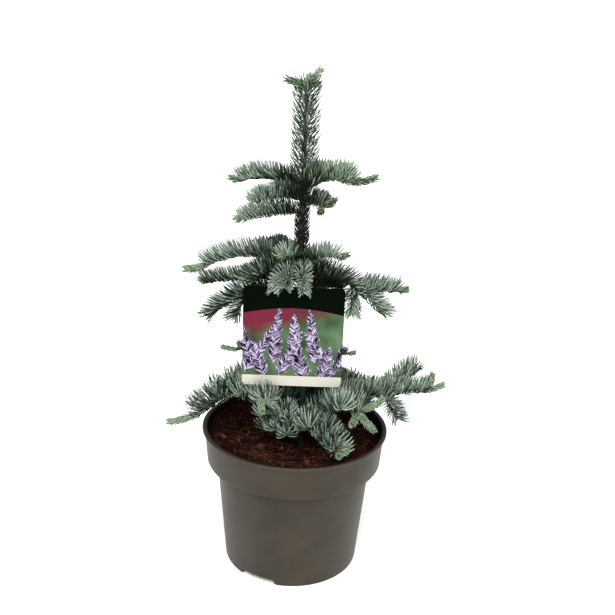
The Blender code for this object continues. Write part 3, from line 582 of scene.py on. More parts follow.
# %% Crumbs and bark chips
CRUMBS, CHIPS = 1500, 40
x, y = scatter_on_soil(CRUMBS, soil_rng, 0.012, 0.0845)
size = soil_rng.uniform(0.0005, 0.0019, CRUMBS)
centres = np.stack((x, y, soil_height(x, y) + 0.2 * size), axis=1)
points, faces = lumps(centres, size[:, None] * soil_rng.uniform(0.6, 1.2, (CRUMBS, 3)), 5, 6, soil_rng)
crumb_material = mottled_material("soil_crumbs", srgb(46, 21, 12), srgb(16, 6, 3), 160.0, 1800.0,
                                  0.95, 0.6, specular=0.02)
add_piece("soil_crumbs", welded("soil_crumbs", points, faces), crumb_material, "soil", "soil")
x, y = scatter_on_soil(CHIPS, soil_rng, 0.022, 0.078)
size = soil_rng.uniform(0.0020, 0.0044, CHIPS)
centres = np.stack((x, y, soil_height(x, y) + 0.0004), axis=1)
shape = size[:, None] * soil_rng.uniform((0.8, 0.5, 0.3), (1.2, 0.9, 0.5), (CHIPS, 3))
points, faces = lumps(centres, shape, 6, 8, soil_rng)
chip_material = mottled_material("bark_chips", srgb(92, 47, 26), srgb(50, 25, 14), 220.0, 1600.0,
                                 0.85, 0.7, specular=0.2)
add_piece("bark_chips", welded("bark_chips", points, faces, smooth=False), chip_material, "soil", "soil")

# %% [markdown]
# ## The label
#
# The label is one sheet with a card and a spike, cut to its outline. Its print is a
# shader on Object coordinates: a dark band with a curved edge, a soft green picture with
# lilac flowers and a dull red patch, and a bare cream strip at the foot.

# %% Label sheet
LABEL_MIDDLE = -0.0050
LABEL_WIDTH = 0.0965
LABEL_BOTTOM = 0.2050
LABEL_TOP = 0.3060
LABEL_CORNER = 0.0045
LABEL_THICKNESS = 0.0008
SPIKE_TOP_WIDTH = 0.0050
SPIKE_FOOT_WIDTH = 0.0032
SPIKE_END, SPIKE_POINT = 0.1110, 0.006
STRIP = 0.0105
BAND = 0.0270
BAND_ARCH = 0.0060


def arc(centre_x, centre_z, start, steps=10):
    """A quarter circle of points from the angle start, in degrees: one corner of the card."""
    angle = np.radians(start + np.linspace(0.0, 90.0, steps))
    return np.stack((centre_x + LABEL_CORNER * np.cos(angle),
                     centre_z + LABEL_CORNER * np.sin(angle)), axis=1)


left, right_edge = LABEL_MIDDLE - LABEL_WIDTH / 2, LABEL_MIDDLE + LABEL_WIDTH / 2
inner_left, inner_right = left + LABEL_CORNER, right_edge - LABEL_CORNER
inner_bottom, inner_top = LABEL_BOTTOM + LABEL_CORNER, LABEL_TOP - LABEL_CORNER
outline = np.vstack((
    [(SPIKE_MIDDLE - SPIKE_TOP_WIDTH / 2, LABEL_BOTTOM),
     (SPIKE_MIDDLE - SPIKE_FOOT_WIDTH / 2, SPIKE_END + SPIKE_POINT), (SPIKE_MIDDLE, SPIKE_END),
     (SPIKE_MIDDLE + SPIKE_FOOT_WIDTH / 2, SPIKE_END + SPIKE_POINT),
     (SPIKE_MIDDLE + SPIKE_TOP_WIDTH / 2, LABEL_BOTTOM)],
    arc(inner_right, inner_bottom, -90), arc(inner_right, inner_top, 0),
    arc(inner_left, inner_top, 90), arc(inner_left, inner_bottom, 180)))
count = len(outline)
sheet = np.vstack([np.column_stack((outline[:, 0], np.full(count, LABEL_PLANE + side), outline[:, 1]))
                   for side in (-LABEL_THICKNESS / 2, LABEL_THICKNESS / 2)])
ring = np.arange(count)
edge_quads = np.stack((ring, ring + count, np.roll(ring, -1) + count, np.roll(ring, -1)), axis=1)
label_mesh = bpy.data.meshes.new("label_card")
label_faces = [ring.tolist(), (ring[::-1] + count).tolist()] + edge_quads.tolist()
label_mesh.from_pydata(sheet.tolist(), [], label_faces)
label_mesh.validate()

# %% [markdown]
# The picture is a bed of lilac flower spikes. One spike is a plume: a strip that starts
# at a foot, runs along one direction and narrows to its tip, with slanting strokes on
# both sides of its middle line. The group below gives its mask and the strokes' tone.

# %% The plume group
PLUME_NUMBERS = ("Foot U", "Foot V", "Cosine", "Sine", "Length", "Half")
STROKES = 72.0
STROKE_STRETCH = 0.28
PLUMES = ((0.10, 0.05, 104, 0.60, 0.075), (0.95, 0.06, 74, 0.56, 0.075), (0.30, 0.12, 84, 0.62, 0.085),
          (0.74, 0.12, 98, 0.60, 0.085), (0.02, 0.02, 60, 0.62, 0.080), (0.52, 0.06, 91, 0.60, 0.095),
          (0.94, 0.02, 126, 0.56, 0.080), (0.36, 0.00, 64, 0.54, 0.085), (0.22, -0.02, 108, 0.44, 0.080),
          (0.64, -0.04, 108, 0.48, 0.090), (0.80, -0.06, 78, 0.40, 0.085))


def make_plume_group():
    """Mask and tone of one plume.

    With a along the plume and b to its side, measured from its foot, the half width is
    w = Half min(1, 6 s, 1.2 root(1 - s)), with s = a / Length. The stroke is 5 noise - 2.5,
    with the noise at STROKES (a - |b|, STROKE_STRETCH |b|) and another seed on each
    side. The mask is 120 (w (0.8 + 0.2 stroke) - |b|), and the tone is
    0.9 stroke + 0.5 (1 - |b| / Half) - 0.2, both held between 0 and 1.
    """
    tree, given, out = new_group("plume", ("INPUT", "Float", ("U", "V", *PLUME_NUMBERS)),
                                 ("OUTPUT", "Float", ("Mask", "Tone")))
    maths = partial(math_node, tree)
    du, dv = maths("SUBTRACT", given["U"], given["Foot U"]), maths("SUBTRACT", given["V"], given["Foot V"])
    along = maths("ADD", maths("MULTIPLY", du, given["Cosine"]), maths("MULTIPLY", dv, given["Sine"]))
    sideways = maths("SUBTRACT", maths("MULTIPLY", dv, given["Cosine"]), maths("MULTIPLY", du, given["Sine"]))
    across = maths("ABSOLUTE", sideways)
    share = maths("DIVIDE", along, given["Length"])
    blunt = maths("MULTIPLY", maths("SQRT", maths("SUBTRACT", 1.0, share)), 1.2)
    taper = maths("MINIMUM", maths("MULTIPLY", share, 6.0), blunt)
    width = maths("MULTIPLY", maths("MINIMUM", taper, 1.0), given["Half"])
    half_seed = maths("MULTIPLY", maths("GREATER_THAN", sideways, 0.0), 7.0)
    spot = tree.nodes.new("ShaderNodeCombineXYZ")
    feed(tree, maths("MULTIPLY", maths("SUBTRACT", along, across), STROKES), spot.inputs["X"])
    feed(tree, maths("MULTIPLY", across, STROKES * STROKE_STRETCH), spot.inputs["Y"])
    feed(tree, maths("MULTIPLY_ADD", given["Foot U"], 70.0, half_seed), spot.inputs["Z"])
    stroke = maths("MULTIPLY_ADD", noise(tree, spot.outputs[0], 1.0, 1.0), 5.0, -2.5)
    reach = maths("MULTIPLY", width, maths("MULTIPLY_ADD", stroke, 0.2, 0.8))
    ridge = maths("SUBTRACT", 1.0, maths("DIVIDE", across, given["Half"]))
    tone = maths("ADD", maths("MULTIPLY", stroke, 0.90), maths("MULTIPLY_ADD", ridge, 0.50, -0.20))
    feed(tree, stretched(tree, maths("SUBTRACT", reach, across), 0.0, 1.0 / 120.0), out["Mask"])
    feed(tree, stretched(tree, tone, 0.0, 1.0), out["Tone"])
    return tree


PLUME = make_plume_group()


# %% Label print
def make_label_material():
    """Print on the front, plain pale sheet on the back, dark plastic on the spike."""
    material, tree, shader = new_material("printed_label", 0.34, 0.02)
    maths, mix = partial(math_node, tree), partial(mixed, tree)
    place, x, y, z = object_place(tree)
    u = maths("MULTIPLY_ADD", x, 1 / LABEL_WIDTH, -left / LABEL_WIDTH)
    v = maths("MULTIPLY_ADD", z, 1 / LABEL_WIDTH, -(LABEL_BOTTOM + STRIP) / LABEL_WIDTH)
    leaves = stretched(tree, noise(tree, place, 30.0), 0.35, 0.65)
    picture = mix(leaves, srgb(34, 48, 30), srgb(96, 122, 90))
    corner = maths("MULTIPLY_ADD", u, -2.0, maths("MULTIPLY_ADD", v, 6.0, -2.0))
    patch = maths("MULTIPLY", stretched(tree, noise(tree, place, 26.0), 0.30, 0.50), corner)
    picture = mix(stretched(tree, patch, 0.0, 1.0), picture, srgb(112, 40, 56))
    for foot_u, foot_v, angle, length, half in PLUMES:
        node = tree.nodes.new("ShaderNodeGroup")
        node.node_tree = PLUME
        cosine, sine = math.cos(math.radians(angle)), math.sin(math.radians(angle))
        values = (u, v, foot_u, foot_v, cosine, sine, length, half)
        for name, value in zip(("U", "V", *PLUME_NUMBERS), values):
            feed(tree, value, node.inputs[name])
        flower = mix(node.outputs["Tone"], srgb(34, 12, 44), srgb(218, 204, 238))
        picture = mix(node.outputs["Mask"], picture, flower)
    front_print = mix(maths("LESS_THAN", z, LABEL_BOTTOM + STRIP), picture, srgb(208, 206, 192))
    edge = maths("MULTIPLY_ADD", maths("SINE", maths("MULTIPLY", u, math.pi)), BAND_ARCH, LABEL_TOP - BAND)
    front_print = mix(maths("GREATER_THAN", z, edge), front_print, srgb(2, 7, 2))
    front = maths("LESS_THAN", y, LABEL_PLANE + 0.4 * LABEL_THICKNESS)
    card = mix(front, srgb(214, 214, 202), front_print)
    spike = maths("LESS_THAN", z, LABEL_BOTTOM)
    feed(tree, mix(spike, card, srgb(26, 31, 25)), shader.inputs["Base Color"])
    return material


add_piece("label_card", label_mesh, make_label_material(), "label", "label")

# %% [markdown]
# ## How the tree grows
#
# The trunk is one straight taper. Each row of the table below is a bough: where it
# leaves the trunk, how its elevation changes along it, how long its old wood is, and
# which shoots end it. The solids were grown by the same rule, so what follows keeps to
# their outline. Steps are shorter here, and the lines waver a little.
#
# The last fields are about needles: how much painted shade darkens a bough's needles, how long
# they are, how far they follow it where it hangs, and how far from the trunk their painted shadow
# reaches. A green bough has greener needles, `young` darkens its new shoots, and `finer` lists
# small extra twigs by place, turn, lift and length.

# %% Bough table
CLEARANCE = 0.0003
TRUNK_BASE = SOIL_TOP + CLEARANCE
TRUNK_TIP = 0.4880
TRUNK_FLARE_RADIUS = 0.0072
TRUNK_FLARE_HEIGHT = 0.012
TRUNK_FOOT_RADIUS = 0.0050
TRUNK_TIP_RADIUS = 0.0013
BOUGH_ROOT_RADIUS = 0.0019
TWIG_ROOT_RADIUS = 0.0015
TWIG_TIP_RADIUS = 0.0010
TIP_RADIUS = 0.0011
TWIG_SAG, TWIG_TURN_BACK = 12.0, 0.35
FAN_THICKNESS, FINER_THICKNESS = (0.85, 1.0), (0.7, 0.8)
TIP_LIFT, TIP_RISE, TIP_TAPER = 14.0, 32.0, 0.7
LEADER_STEP, LEADER_SPAN = 0.003, 0.02
PATH_STEP = 0.0024
WAVER, WAVER_LENGTH, WAVER_SHIFT = 2.5, 0.022, 47.0

Bough = namedtuple(
    "Bough", "name height azimuth rise droop length later tip tips fork fan bare shade scale hang deep "
             "green finer young",
    defaults=((), 0.0, ((0, 0),), 0.5, (), 0.0, 0.0, 1.0, 0.0, 0.040, False, (), 0.0))
PAIR = ((-44, 0, 0.40), (44, 0, 0.40))
BOUGHS = (
    Bough("top_right", 0.393, -15, 56, -22, 0.041, tip=0.031, tips=((0, 4),), fork=0.8, bare=0.006,
          fan=((48, 8, 0.32),), shade=-0.35, scale=1.08, green=True, young=0.45,
          finer=((0.62, -40, 14, 0.010), (0.80, -20, 30, 0.009))),
    Bough("top_front_right", 0.385, -50, -8, -4, 0.024, tip=0.021, tips=((0, 0), (-44, -30)), young=0.35),
    Bough("top_back_left", 0.395, 165, 28, -24, 0.060, tip=0.014, young=0.40),
    Bough("top_front_left", 0.386, -143, 12, -10, 0.050, tip=0.006, shade=0.05, young=-0.1),
    Bough("top_low_left", 0.371, -158, 6, -13, 0.055, tip=0.010, tips=((0, -14),), shade=-0.25, young=-0.1),
    Bough("top_back_right", 0.391, 62, 36, -2, 0.042, tip=0.008, shade=0.1),
    Bough("top_back", 0.380, 112, 24, -18, 0.052, tip=0.014, shade=0.2),
    Bough("middle_left", 0.316, -174, 34, -30, 0.090, tip=0.023, tips=((0, -12),), bare=0.018,
          shade=0.1, scale=1.1),
    Bough("middle_low_left", 0.303, -165, 10, -6, 0.090, tip=0.005, bare=0.018, shade=0.6, scale=0.84),
    Bough("middle_down_left", 0.294, -160, 10, -6, 0.050, later=((0.040, -16, -42),), fork=0.95,
          fan=((44, -34, 0.55),), bare=0.018, shade=0.6, scale=1.02, hang=0.8),
    Bough("middle_left_front", 0.3128, -144, 26, -26, 0.058, fork=0.4, fan=((-38, -12, 0.5),),
          shade=0.6, hang=1.0),
    Bough("middle_front", 0.309, -122, 48, -56, 0.043, fork=0.45, fan=((34, -22, 0.5),), bare=0.014,
          shade=-0.1, scale=0.88, hang=1.0, deep=0.022),
    Bough("middle_upper_front", 0.328, -122, 26, -4, 0.026, tip=0.005, deep=0.020),
    Bough("middle_front_right", 0.312, -84, 38, -56, 0.042, scale=0.82, hang=1.0, deep=0.024),
    Bough("middle_upper_right", 0.322, -36, 38, 0, 0.038, tip=0.016, tips=((0, -8),), shade=-0.2,
          deep=0.022, young=0.2),
    Bough("middle_right", 0.305, -12, 30, -38, 0.056, later=((0.036, 2, 4),), tip=0.013,
          tips=((0, -22),), fork=0.93, fan=((-20, 8, 0.70), (-96, -14, 0.48)), bare=0.012,
          shade=0.28, scale=1.02, hang=1.0, deep=0.050, young=0.2),
    Bough("middle_back_right", 0.292, 40, 12, -14, 0.048, fan=PAIR, bare=0.016, shade=0.9),
    Bough("middle_back", 0.298, 88, 16, -26, 0.086, tip=0.016, fan=PAIR, bare=0.018, shade=0.3),
    Bough("middle_back_left", 0.313, 132, 22, -6, 0.054, fan=((-40, 0, 0.5),), shade=0.8,
          scale=1.1),
    Bough("inner_left", 0.236, -176, -4, -6, 0.054, tip=0.019, tips=((0, -18),), shade=0.5,
          scale=0.5),
    Bough("inner_right", 0.233, -6, -4, -4, 0.044, tip=0.011, tips=((0, -10),), shade=0.5,
          scale=0.45),
    Bough("inner_back_right", 0.248, 64, 10, -12, 0.068, tip=0.014, fan=((44, 0, 0.4),), shade=0.2),
    Bough("inner_back_left", 0.243, 122, 10, -12, 0.068, tip=0.014, fan=((-44, 0, 0.4),), shade=0.2),
    Bough("low_left", 0.168, -171, 43, -47, 0.102, tip=0.033, fork=0.3, bare=0.020,
          fan=((-45, 0, 0.3), (40, 0, 0.3)), shade=0.58, scale=1.06,
          finer=((0.55, -30, 34, 0.014), (0.68, 26, 44, 0.012))),
    Bough("low_front_left", 0.174, -136, 48, 8, 0.050, tip=0.021, fork=0.7,
          fan=((-50, -6, 0.5), (30, -30, 0.3)), tips=((58, -72), (96, -56)), bare=0.010),
    Bough("low_left_front", 0.168, -114, 26, -4, 0.034, fork=0.6, fan=((46, -8, 0.6), (-50, -8, 0.7)),
          scale=0.75, hang=0.6),
    Bough("low_front", 0.159, -116, 10, -10, 0.038, fan=((40, 0, 0.7), (-40, 0, 0.6)), shade=0.25, scale=0.75,
          hang=0.6),
    Bough("low_right_front", 0.158, -60, 14, -16, 0.078, tip=0.009,
          tips=((-24, -16), (34, 0)), bare=0.014, shade=0.4,
          finer=((0.34, -42, 16, 0.026), (0.22, 30, 30, 0.020))),
    Bough("low_front_right", 0.164, -34, 32, 2, 0.072, tip=0.028, bare=0.018, fork=0.55,
          fan=((-42, 10, 0.45), (38, 10, 0.4)), tips=((26, 2), (-22, -52), (-72, -36)), shade=0.45),
    Bough("low_right", 0.1715, -10, 17, 10, 0.130, tip=0.018, fork=0.66, bare=0.020,
          tips=((0, -12), (40, 34)), fan=((-66, -34, 0.26), (40, 26, 0.30)), shade=0.25, scale=0.83,
          hang=0.8, deep=0.070),
    Bough("low_back_right", 0.168, 26, 14, -14, 0.084, fan=PAIR, bare=0.018, shade=0.8),
    Bough("low_right_back", 0.162, 60, 18, -22, 0.090, fan=PAIR, bare=0.018, shade=0.5),
    Bough("low_back", 0.174, 88, 22, -18, 0.108, tip=0.016, fan=PAIR, bare=0.018),
    Bough("low_back_left", 0.165, 118, 18, -22, 0.090, tip=0.014, fan=PAIR, bare=0.018),
)
LEADER_SHOOTS = ((8, 38, 0.018, 0.0), (182, 0, 0.021, 0.10), (-5, -14, 0.013, 0.16),
                 (-112, -22, 0.015, 0.12), (80, 16, 0.012, 0.14))

# %% Growth rule
Shoot = namedtuple("Shoot", "path root_radius tip_radius new bare bough")


def trunk_radius(height):
    """Radius of the trunk at a height: a straight taper with a flare at its foot."""
    share = (height - TRUNK_BASE) / (TRUNK_TIP - TRUNK_BASE)
    taper = TRUNK_FOOT_RADIUS + (TRUNK_TIP_RADIUS - TRUNK_FOOT_RADIUS) * share
    flare = np.clip(1.0 - (height - TRUNK_BASE) / TRUNK_FLARE_HEIGHT, 0.0, 1.0)
    return taper + (TRUNK_FLARE_RADIUS - TRUNK_FOOT_RADIUS) * flare ** 2


def heading(azimuth, elevation):
    """Unit vectors for azimuths and elevations in degrees."""
    azimuth, elevation = np.radians(azimuth), np.radians(elevation)
    return np.stack((np.cos(elevation) * np.cos(azimuth), np.cos(elevation) * np.sin(azimuth),
                     np.sin(elevation)), axis=-1)


def shoot_path(start, azimuth, rise, droop, length, turn=0.0):
    """Points along a shoot whose elevation goes evenly from rise to droop, wavering slightly."""
    steps = max(3, round(length / PATH_STEP))
    share = (np.arange(steps) + 0.5) / steps
    waver = WAVER * np.sin(2 * math.pi * (share * length / WAVER_LENGTH + azimuth / WAVER_SHIFT))
    away = heading(azimuth + turn * share + waver, rise + (droop - rise) * share - 0.6 * waver)
    return np.vstack((start, start + np.cumsum(away * (length / steps), axis=0)))


def arc_lengths(path):
    """Distance along a path at each of its points."""
    return np.concatenate(([0.0], np.cumsum(np.linalg.norm(np.diff(path, axis=0), axis=1))))


def grow_bough(bough):
    """A bough's shoots: the stem from trunk to old tip, its side shoots and this year's tips."""
    rng = random.Random(bough.name)

    def twig(line, place, turn, lift, length, thick, thin):
        """A side twig from a point of a line, its rise counted from the bough's own there."""
        rise = bough.rise + (bough.droop - bough.rise) * place + lift
        foot = line[min(round(place * (len(line) - 1)), len(line) - 1)]
        path = shoot_path(foot, bough.azimuth + turn, rise, rise - TWIG_SAG, length, -TWIG_TURN_BACK * turn)
        shoots.append(Shoot(path, TWIG_ROOT_RADIUS * thick, TWIG_TIP_RADIUS * thin, False, 0.0, bough))

    root_radius = BOUGH_ROOT_RADIUS if bough.bare else TWIG_ROOT_RADIUS
    lean = abs(math.sin(math.radians(bough.rise)))
    reach = trunk_radius(bough.height) + CLEARANCE + root_radius * lean
    start = heading(bough.azimuth, 0.0) * reach + (0.0, 0.0, bough.height)
    old = shoot_path(start, bough.azimuth, bough.rise, bough.droop, bough.length)
    stem, elevation = old, bough.droop
    for length, rise, droop in bough.later:
        more = shoot_path(stem[-1], bough.azimuth, rise, droop, length)
        stem, elevation = np.vstack((stem, more[1:])), droop
    shoots = [Shoot(stem, root_radius, TWIG_TIP_RADIUS, False, bough.bare, bough)]
    for turn, lift, share in bough.fan:
        turn += rng.uniform(-4.0, 4.0)
        length = bough.length * share * rng.uniform(0.94, 1.06)
        twig(old, bough.fork, turn, lift, length, *FAN_THICKNESS)
    for place, turn, lift, length in bough.finer:
        twig(stem, place, turn, lift, length, *FINER_THICKNESS)
    if bough.tip:
        for turn, lift in bough.tips:
            rise = elevation + TIP_LIFT + lift
            tip = shoot_path(stem[-1], bough.azimuth + turn, rise, rise + TIP_RISE, bough.tip)
            shoots.append(Shoot(tip, TIP_RADIUS, TIP_RADIUS * TIP_TAPER, True, 0.0, bough))
    return shoots


def grow_leader():
    """The new shoots that stand on the trunk's tip."""
    azimuth, elevation, length, _ = LEADER_SHOOTS[0]
    start = np.array((0.0, 0.0, TRUNK_TIP + CLEARANCE))
    foot = start + (0.0, 0.0, LEADER_STEP)
    stem = np.vstack((start, shoot_path(foot, azimuth, elevation, elevation + 8, length)))
    pale, deep = (Bough("leader", TRUNK_TIP, 0, 0, 0, 0, young=young) for young in (-0.1, 0.45))
    shoots = [Shoot(stem, TRUNK_TIP_RADIUS, TIP_RADIUS, True, 0.0, pale)]
    for azimuth, elevation, length, share in LEADER_SHOOTS[1:]:
        root = start + (0.0, 0.0, share * LEADER_SPAN)
        side = shoot_path(root, azimuth, elevation, elevation + 20, length)
        shoots.append(Shoot(side, TIP_RADIUS, TIP_RADIUS * TIP_TAPER, True, 0.0, deep))
    return shoots


shoots = [shoot for bough in BOUGHS for shoot in grow_bough(bough)] + grow_leader()
old_shoots = [shoot for shoot in shoots if not shoot.new]
new_shoots = [shoot for shoot in shoots if shoot.new]
for kind, group in (("old", old_shoots), ("new", new_shoots)):
    print(kind, "shoots", len(group), round(sum(arc_lengths(shoot.path)[-1] for shoot in group), 2), "m")

# %% [markdown]
# ## Bark
#
# A young fir's bark is thin and grey-brown, with small blisters. The trunk is a dense
# tube: its radius follows the taper, with a low swelling at each whorl and soft noise
# for the blisters. The boughs' bare stretches are tubes of the same kind.

# %% Trunk and boughs
MASS_NODES = [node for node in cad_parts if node.startswith("mass_")]
BOUGH_NODES = [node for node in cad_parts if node.startswith("bough_")]
WHORLS = (0.166, 0.240, 0.308, 0.388)
WHORL_SWELL, WHORL_SPREAD = 0.05, 0.004
TUBE_STEP = 0.0016
TRUNK_RINGS, TRUNK_SIDES, BOUGH_SIDES, TWIG_SIDES = 250, 30, 12, 9
# Each bark: its relief as a share of the radius, and the relief's scale.
TRUNK_BARK, BOUGH_BARK, TWIG_BARK = (0.055, 0.006), (0.09, 0.003), (0.12, 0.0022)


def blend_radii(along, first, last):
    """Radii that go evenly from first to last along a line."""
    return np.interp(along, (0.0, along[-1]), (first, last))


def points_at(distance, along, values):
    """The values along a path, one row for each point of it, at the wanted distances."""
    return np.stack([np.interp(distance, along, column) for column in values.T], axis=1)


def resampled(path):
    """A path's points at even steps, and how far along each of them lies."""
    along = arc_lengths(path)
    wanted = np.linspace(0.0, along[-1], max(3, round(along[-1] / TUBE_STEP)))
    points = points_at(wanted, along, path)
    return points, arc_lengths(points)


def bark_tube(path, radii, sides, relief, scale, seed):
    """A tube round one path, its points pushed out by noise, with both ends closed."""
    points, _ = tubes_from_lines(path[None], radii[None], sides)
    bump = smooth_noise(points, scale, seed).reshape(len(path), sides, 1)
    bump[[0, -1]] = 0.0
    core = path[:, None]
    rings = core + (points.reshape(len(path), sides, 3) - core) * (1.0 + relief * bump)
    ends = np.repeat(path[[0, -1], None], sides, axis=1)
    rings = np.concatenate((ends[:1], rings, ends[1:]))
    return rings.reshape(-1, 3), grid_faces(len(rings), sides)


def joined(parts):
    """Many (points, faces) joined into one pair."""
    points, faces, offset = [], [], 0
    for part_points, part_faces in parts:
        points.append(part_points)
        faces.append(part_faces + offset)
        offset += len(part_points)
    return np.vstack(points), np.vstack(faces)


heights = np.linspace(TRUNK_BASE, TRUNK_TIP, TRUNK_RINGS)
swell = 1.0 + WHORL_SWELL * sum(np.exp(-((heights - whorl) / WHORL_SPREAD) ** 2) for whorl in WHORLS)
trunk_line = np.stack((0.0 * heights, 0.0 * heights, heights), axis=1)
tubes = [bark_tube(trunk_line, trunk_radius(heights) * swell, TRUNK_SIDES, *TRUNK_BARK, 3)]
for i, bough in enumerate(BOUGHS):
    if bough.bare:
        stem, along = resampled(grow_bough(bough)[0].path)
        inside = along <= bough.bare + TUBE_STEP
        radii = blend_radii(along, BOUGH_ROOT_RADIUS, TWIG_TIP_RADIUS)
        tubes.append(bark_tube(stem[inside], radii[inside], BOUGH_SIDES, *BOUGH_BARK, 40 + i))
bark_material = mottled_material("young_bark", srgb(66, 55, 42), srgb(30, 24, 18), 210.0, 1900.0,
                                 0.85, 0.8, 0.0005, specular=0.2)
add_piece("trunk_bark", welded("trunk_bark", *joined(tubes)), bark_material, "bark", "trunk", *BOUGH_NODES)

# %% [markdown]
# ## Twigs
#
# The old wood goes on from the boughs in a lighter brown, with a rougher skin where the
# needles sit. This year's shoots are greenish.

# %% Twigs
twig_tubes, green_tubes = [], []
for i, shoot in enumerate(shoots):
    line, along = resampled(shoot.path)
    radii = blend_radii(along, shoot.root_radius, shoot.tip_radius)
    keep = along >= shoot.bare
    tube = bark_tube(line[keep], radii[keep], TWIG_SIDES, *TWIG_BARK, 90 + i)
    (green_tubes if shoot.new else twig_tubes).append(tube)
twig_material = mottled_material("old_twigs", srgb(84, 68, 48), srgb(44, 34, 24), 300.0, 2200.0,
                                 0.8, 0.6, 0.0003, specular=0.2)
add_piece("twigs", welded("twigs", *joined(twig_tubes)), twig_material, "bark", *MASS_NODES)
stem_material = mottled_material("new_stems", srgb(124, 124, 80), srgb(88, 92, 56), 300.0, 2000.0,
                                 0.7, 0.3, specular=0.2)
add_piece("new_stems", welded("new_stems", *joined(green_tubes)), stem_material, "new_shoots",
          "leader_tip", *MASS_NODES)

# %% [markdown]
# ## Needles
#
# A needle's middle line starts in one direction and bends evenly into another:
# centre(t) = root + L (t d0 + t^2 / 2 (d1 - d0)). Old needles leave the shoot at its
# sides and top and bend upwards, as if brushed up. The needle is a flat blade with a
# blunt tip, four rings of four points, and every needle of a kind is worked out at once.

# %% Needle arrays
GOLDEN = 0.6180339887
RING_SHARE = np.array((0.0, 0.25, 0.68, 0.95))
RING_WIDTH = np.array((0.50, 0.94, 0.96, 0.56))
BLADE_THICKNESS = 0.55
Needles = namedtuple("Needles", "root first last length width turn shade")


def bend_line(needles, share):
    """Middle lines of all needles: points (n, k, 3) at shares (k,) of their length."""
    t = share[None, :, None]
    first, last = needles.first[:, None], needles.last[:, None]
    return needles.root[:, None] + needles.length[:, None, None] * (t * first + t * t / 2 * (last - first))


def blades(needles):
    """Points and triangles of all blades: rings of four points and one tip point each."""
    line = bend_line(needles, np.append(RING_SHARE, 1.0))
    count, rings = len(line), len(RING_SHARE)
    direction = unit(line[:, -1] - line[:, 0])
    wide = unit(np.cross(direction, needles.turn))
    thin = np.cross(direction, wide)
    half = 0.5 * needles.width[:, None] * RING_WIDTH[None]
    corners = [wide[:, None] * half[:, :, None], thin[:, None] * half[:, :, None] * BLADE_THICKNESS]
    around = np.stack((corners[0], corners[1], -corners[0], -corners[1]), axis=2)
    body = (line[:, :rings, None] + around).reshape(count, rings * 4, 3)
    points = np.concatenate((body, line[:, rings:]), axis=1)
    quads = grid_faces(rings, 4)
    corner = np.arange(4)
    last = (rings - 1) * 4
    tip = np.stack((last + corner, last + (corner + 1) % 4, np.full(4, rings * 4)), axis=1)
    triangles = np.vstack((quads[:, (0, 1, 2)], quads[:, (0, 2, 3)], tip))
    return points.reshape(-1, 3), repeated(triangles, count, rings * 4 + 1)


def needle_roots(path, rate, first, last):
    """Evenly spaced places along a path: point, tangent, level side, upward normal, distance."""
    along = arc_lengths(path)
    count = max(1, int((along[-1] - first - last) * rate))
    distance = first + (along[-1] - first - last) * (np.arange(count) + 0.5) / count
    point = points_at(distance, along, path)
    tangent = unit(points_at(distance, along, unit(np.gradient(path, axis=0))))
    side = np.cross(tangent, (0.0, 0.0, 1.0))
    side[np.linalg.norm(side, axis=1) < 0.05] = (1.0, 0.0, 0.0)
    side = unit(side)
    return point, tangent, side, np.cross(side, tangent), distance


# %% [markdown]
# A needle that would touch the label, the pot, the soil or the trunk is left out, by
# the same test as in the solids: points along its middle line are compared with the
# shapes they must miss.

# %% Room for needles
LABEL_EDGE_ROOM, LABEL_FACE_ROOM = 0.0014, 0.0018
SOIL_ROOM, RIM_ROOM, TRUNK_ROOM = 0.0008, 0.0012, 0.0004
OUTSIDE_FLOOR = 0.120
CHECK_POINTS = 13


def clear_of_label(line):
    """Whether each line (n, k, 3) stays off the label's card and spike."""
    x, away, z = line[..., 0], line[..., 1] - LABEL_PLANE, line[..., 2]
    on_card = ((np.abs(x - LABEL_MIDDLE) < LABEL_WIDTH / 2 + LABEL_EDGE_ROOM)
               & (z > LABEL_BOTTOM - LABEL_EDGE_ROOM) & (z < LABEL_TOP + LABEL_EDGE_ROOM))
    on_spike = (np.abs(x - SPIKE_MIDDLE) < SPIKE_TOP_WIDTH / 2 + LABEL_EDGE_ROOM) & (z <= LABEL_BOTTOM)
    there = on_card | on_spike
    near = (np.abs(away) < LABEL_FACE_ROOM) & there
    crosses = (away[:, :-1] * away[:, 1:] < 0.0) & (there[:, :-1] | there[:, 1:])
    return ~(near.any(axis=1) | crosses.any(axis=1))


def clear_of_pot(line):
    """Whether each line stays above the soil and off the rim."""
    x, y, z = line[..., 0], line[..., 1], line[..., 2]
    reach = np.hypot(x, y)
    outside = np.where(reach < RIM_RADIUS + RIM_ROOM, POT_HEIGHT + RIM_ROOM, OUTSIDE_FLOOR)
    floor = np.where(reach < COLLAR_TOP_RADIUS - WALL - 0.001, soil_height(x, y) + SOIL_ROOM, outside)
    return (z > floor).all(axis=1)


def clear_of_trunk(line):
    """Whether each line, past its root, stays outside the trunk."""
    line = line[:, 2:]
    reach = np.hypot(line[..., 0], line[..., 1])
    inside = (reach < trunk_radius(line[..., 2]) + TRUNK_ROOM) & (line[..., 2] < TRUNK_TIP)
    return ~inside.any(axis=1)


def with_room(needles):
    """Only the needles whose lines miss the label, the pot and the trunk."""
    line = bend_line(needles, np.linspace(0.0, 1.0, CHECK_POINTS))
    free = clear_of_label(line) & clear_of_pot(line) & clear_of_trunk(line)
    return Needles(*(values[free] for values in needles))


def grown(grow, rows):
    """Needles of one kind on several shoots or stretches, joined, those with room only."""
    groups = [grow(row) for row in rows]
    return with_room(Needles(*(np.concatenate(values) for values in zip(*groups))))


# %% [markdown]
# Old needles spiral round the shoot, but only from one low side over the top to the
# other. They lean more and more forward towards the shoot's end. A needle's tone is
# dealt out by spray and carries painted shade: dark near the trunk, underneath and in the
# sheltered boughs, pale at the ends, with some chance in it that leaves neighbours apart.

